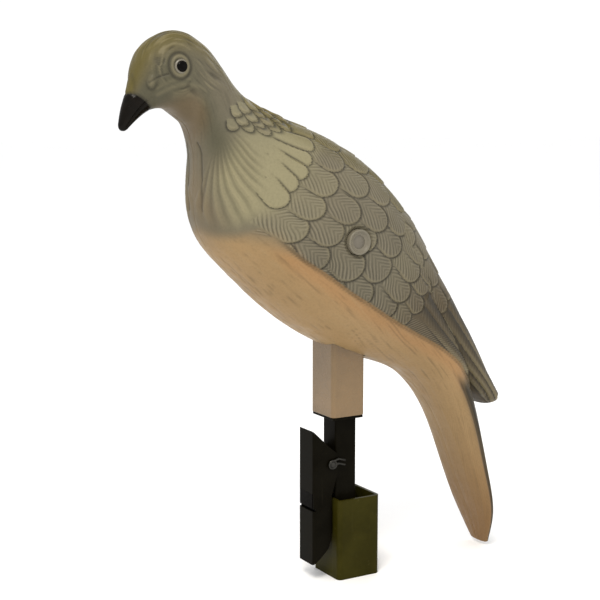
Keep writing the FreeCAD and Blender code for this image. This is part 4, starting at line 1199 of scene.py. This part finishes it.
# Outlines as (radius, distance from the middle plane).
HUB_PROFILE = (
    (1.5, 28.0), (3.2, 28.0), (3.2, 31.0), (5.6, 31.0), (6.0, 31.4), (6.25, 35.6), (6.25, 38.3),
    (6.15, 38.7), (5.9, 38.95), (5.6, 39.0), (5.3, 38.9), (5.0, 38.6), (4.65, 38.25), (4.3, 38.0),
    (3.9, 37.8), (3.25, 37.7), (3.25, 34.0), (1.5, 34.0))
MAGNET_PROFILE = ((0.02, 34.0), (3.2, 34.0), (3.2, 37.5), (3.05, 37.6), (0.02, 37.6))


def build_hubs():
    """Dished wing hubs with a soft rim and a magnet disc, turned on the shaft's axis."""
    centre = (0, SHAFT_Y, SHAFT_Z)
    for name, side in SIDES:
        hub = lathe(name + "_hub", HUB_PROFILE, centre, (side, 0, 0))
        finish(hub, "wing_drive", HUB, "hub_plastic", name + "_wing_hub")
        magnet = lathe(name + "_magnet_disc", MAGNET_PROFILE, centre, (side, 0, 0))
        finish(magnet, "wing_drive", MAGNET, "zinc_steel", name + "_hub_magnet")


# ---- stage

# Half the floor's side, in mm.
FLOOR = 12000.0


def build_stage():
    """A pale floor at the pole's lower end, under an even white sky."""
    corners = [(-FLOOR, -FLOOR, 0), (FLOOR, -FLOOR, 0), (FLOOR, FLOOR, 0), (-FLOOR, FLOOR, 0)]
    floor = new_object("floor", mesh_from("floor", corners, [[0, 1, 2, 3]]))
    pale = speckled("floor_pale", (0.95, 0.95, 0.95), (0.96, 0.96, 0.96), 0.9, grain=60.0, specular=0.1)
    floor.data.materials.append(pale)
    world = bpy.data.worlds.new("studio")
    world.use_nodes = True
    sky = world.node_tree.nodes["Background"].inputs
    sky["Color"].default_value = (1.0, 1.0, 1.0, 1.0)
    sky["Strength"].default_value = 1.05
    bpy.context.scene.world = world


def aimed(name, data, place, target):
    """A lamp or camera at a place, turned to a target."""
    thing = new_object(name, data)
    thing.location = place
    thing.rotation_euler = (Vector(target) - Vector(place)).to_track_quat("-Z", "Y").to_euler()
    return thing


def build_lights():
    warm, plain = (1.0, 0.95, 0.87), (1.0, 0.98, 0.95)
    for name, place, width, power, colour in (
        ("key", (0.62, -0.66, 1.25), 0.45, 13.0, warm),
        ("fill", (1.3, 0.55, 0.5), 1.0, 2.0, plain),
        ("back", (-0.9, 0.9, 0.9), 0.8, 2.0, plain),
    ):
        light = bpy.data.lights.new(name, "AREA")
        light.shape = "SQUARE"
        light.size = width
        light.energy = power
        light.color = colour
        aimed(name, light, place, (0.0, 0.0, 0.15))


def build_camera():
    lens = bpy.data.cameras.new("camera")
    lens.lens = 78.0
    lens.sensor_width = 36.0
    lens.clip_start, lens.clip_end = 0.01, 50.0
    bpy.context.scene.camera = aimed("camera", lens, (0.5632, -0.3605, 0.2394), (-0.0127, -0.0212, 0.1455))


bpy.context.scene.view_settings.view_transform = "Standard"
build_dove()
build_eyes()
for part in HARD_PARTS:
    softened(*part)
build_spring()
build_hubs()
paint_kept_nodes()
build_stage()
build_lights()
build_camera()
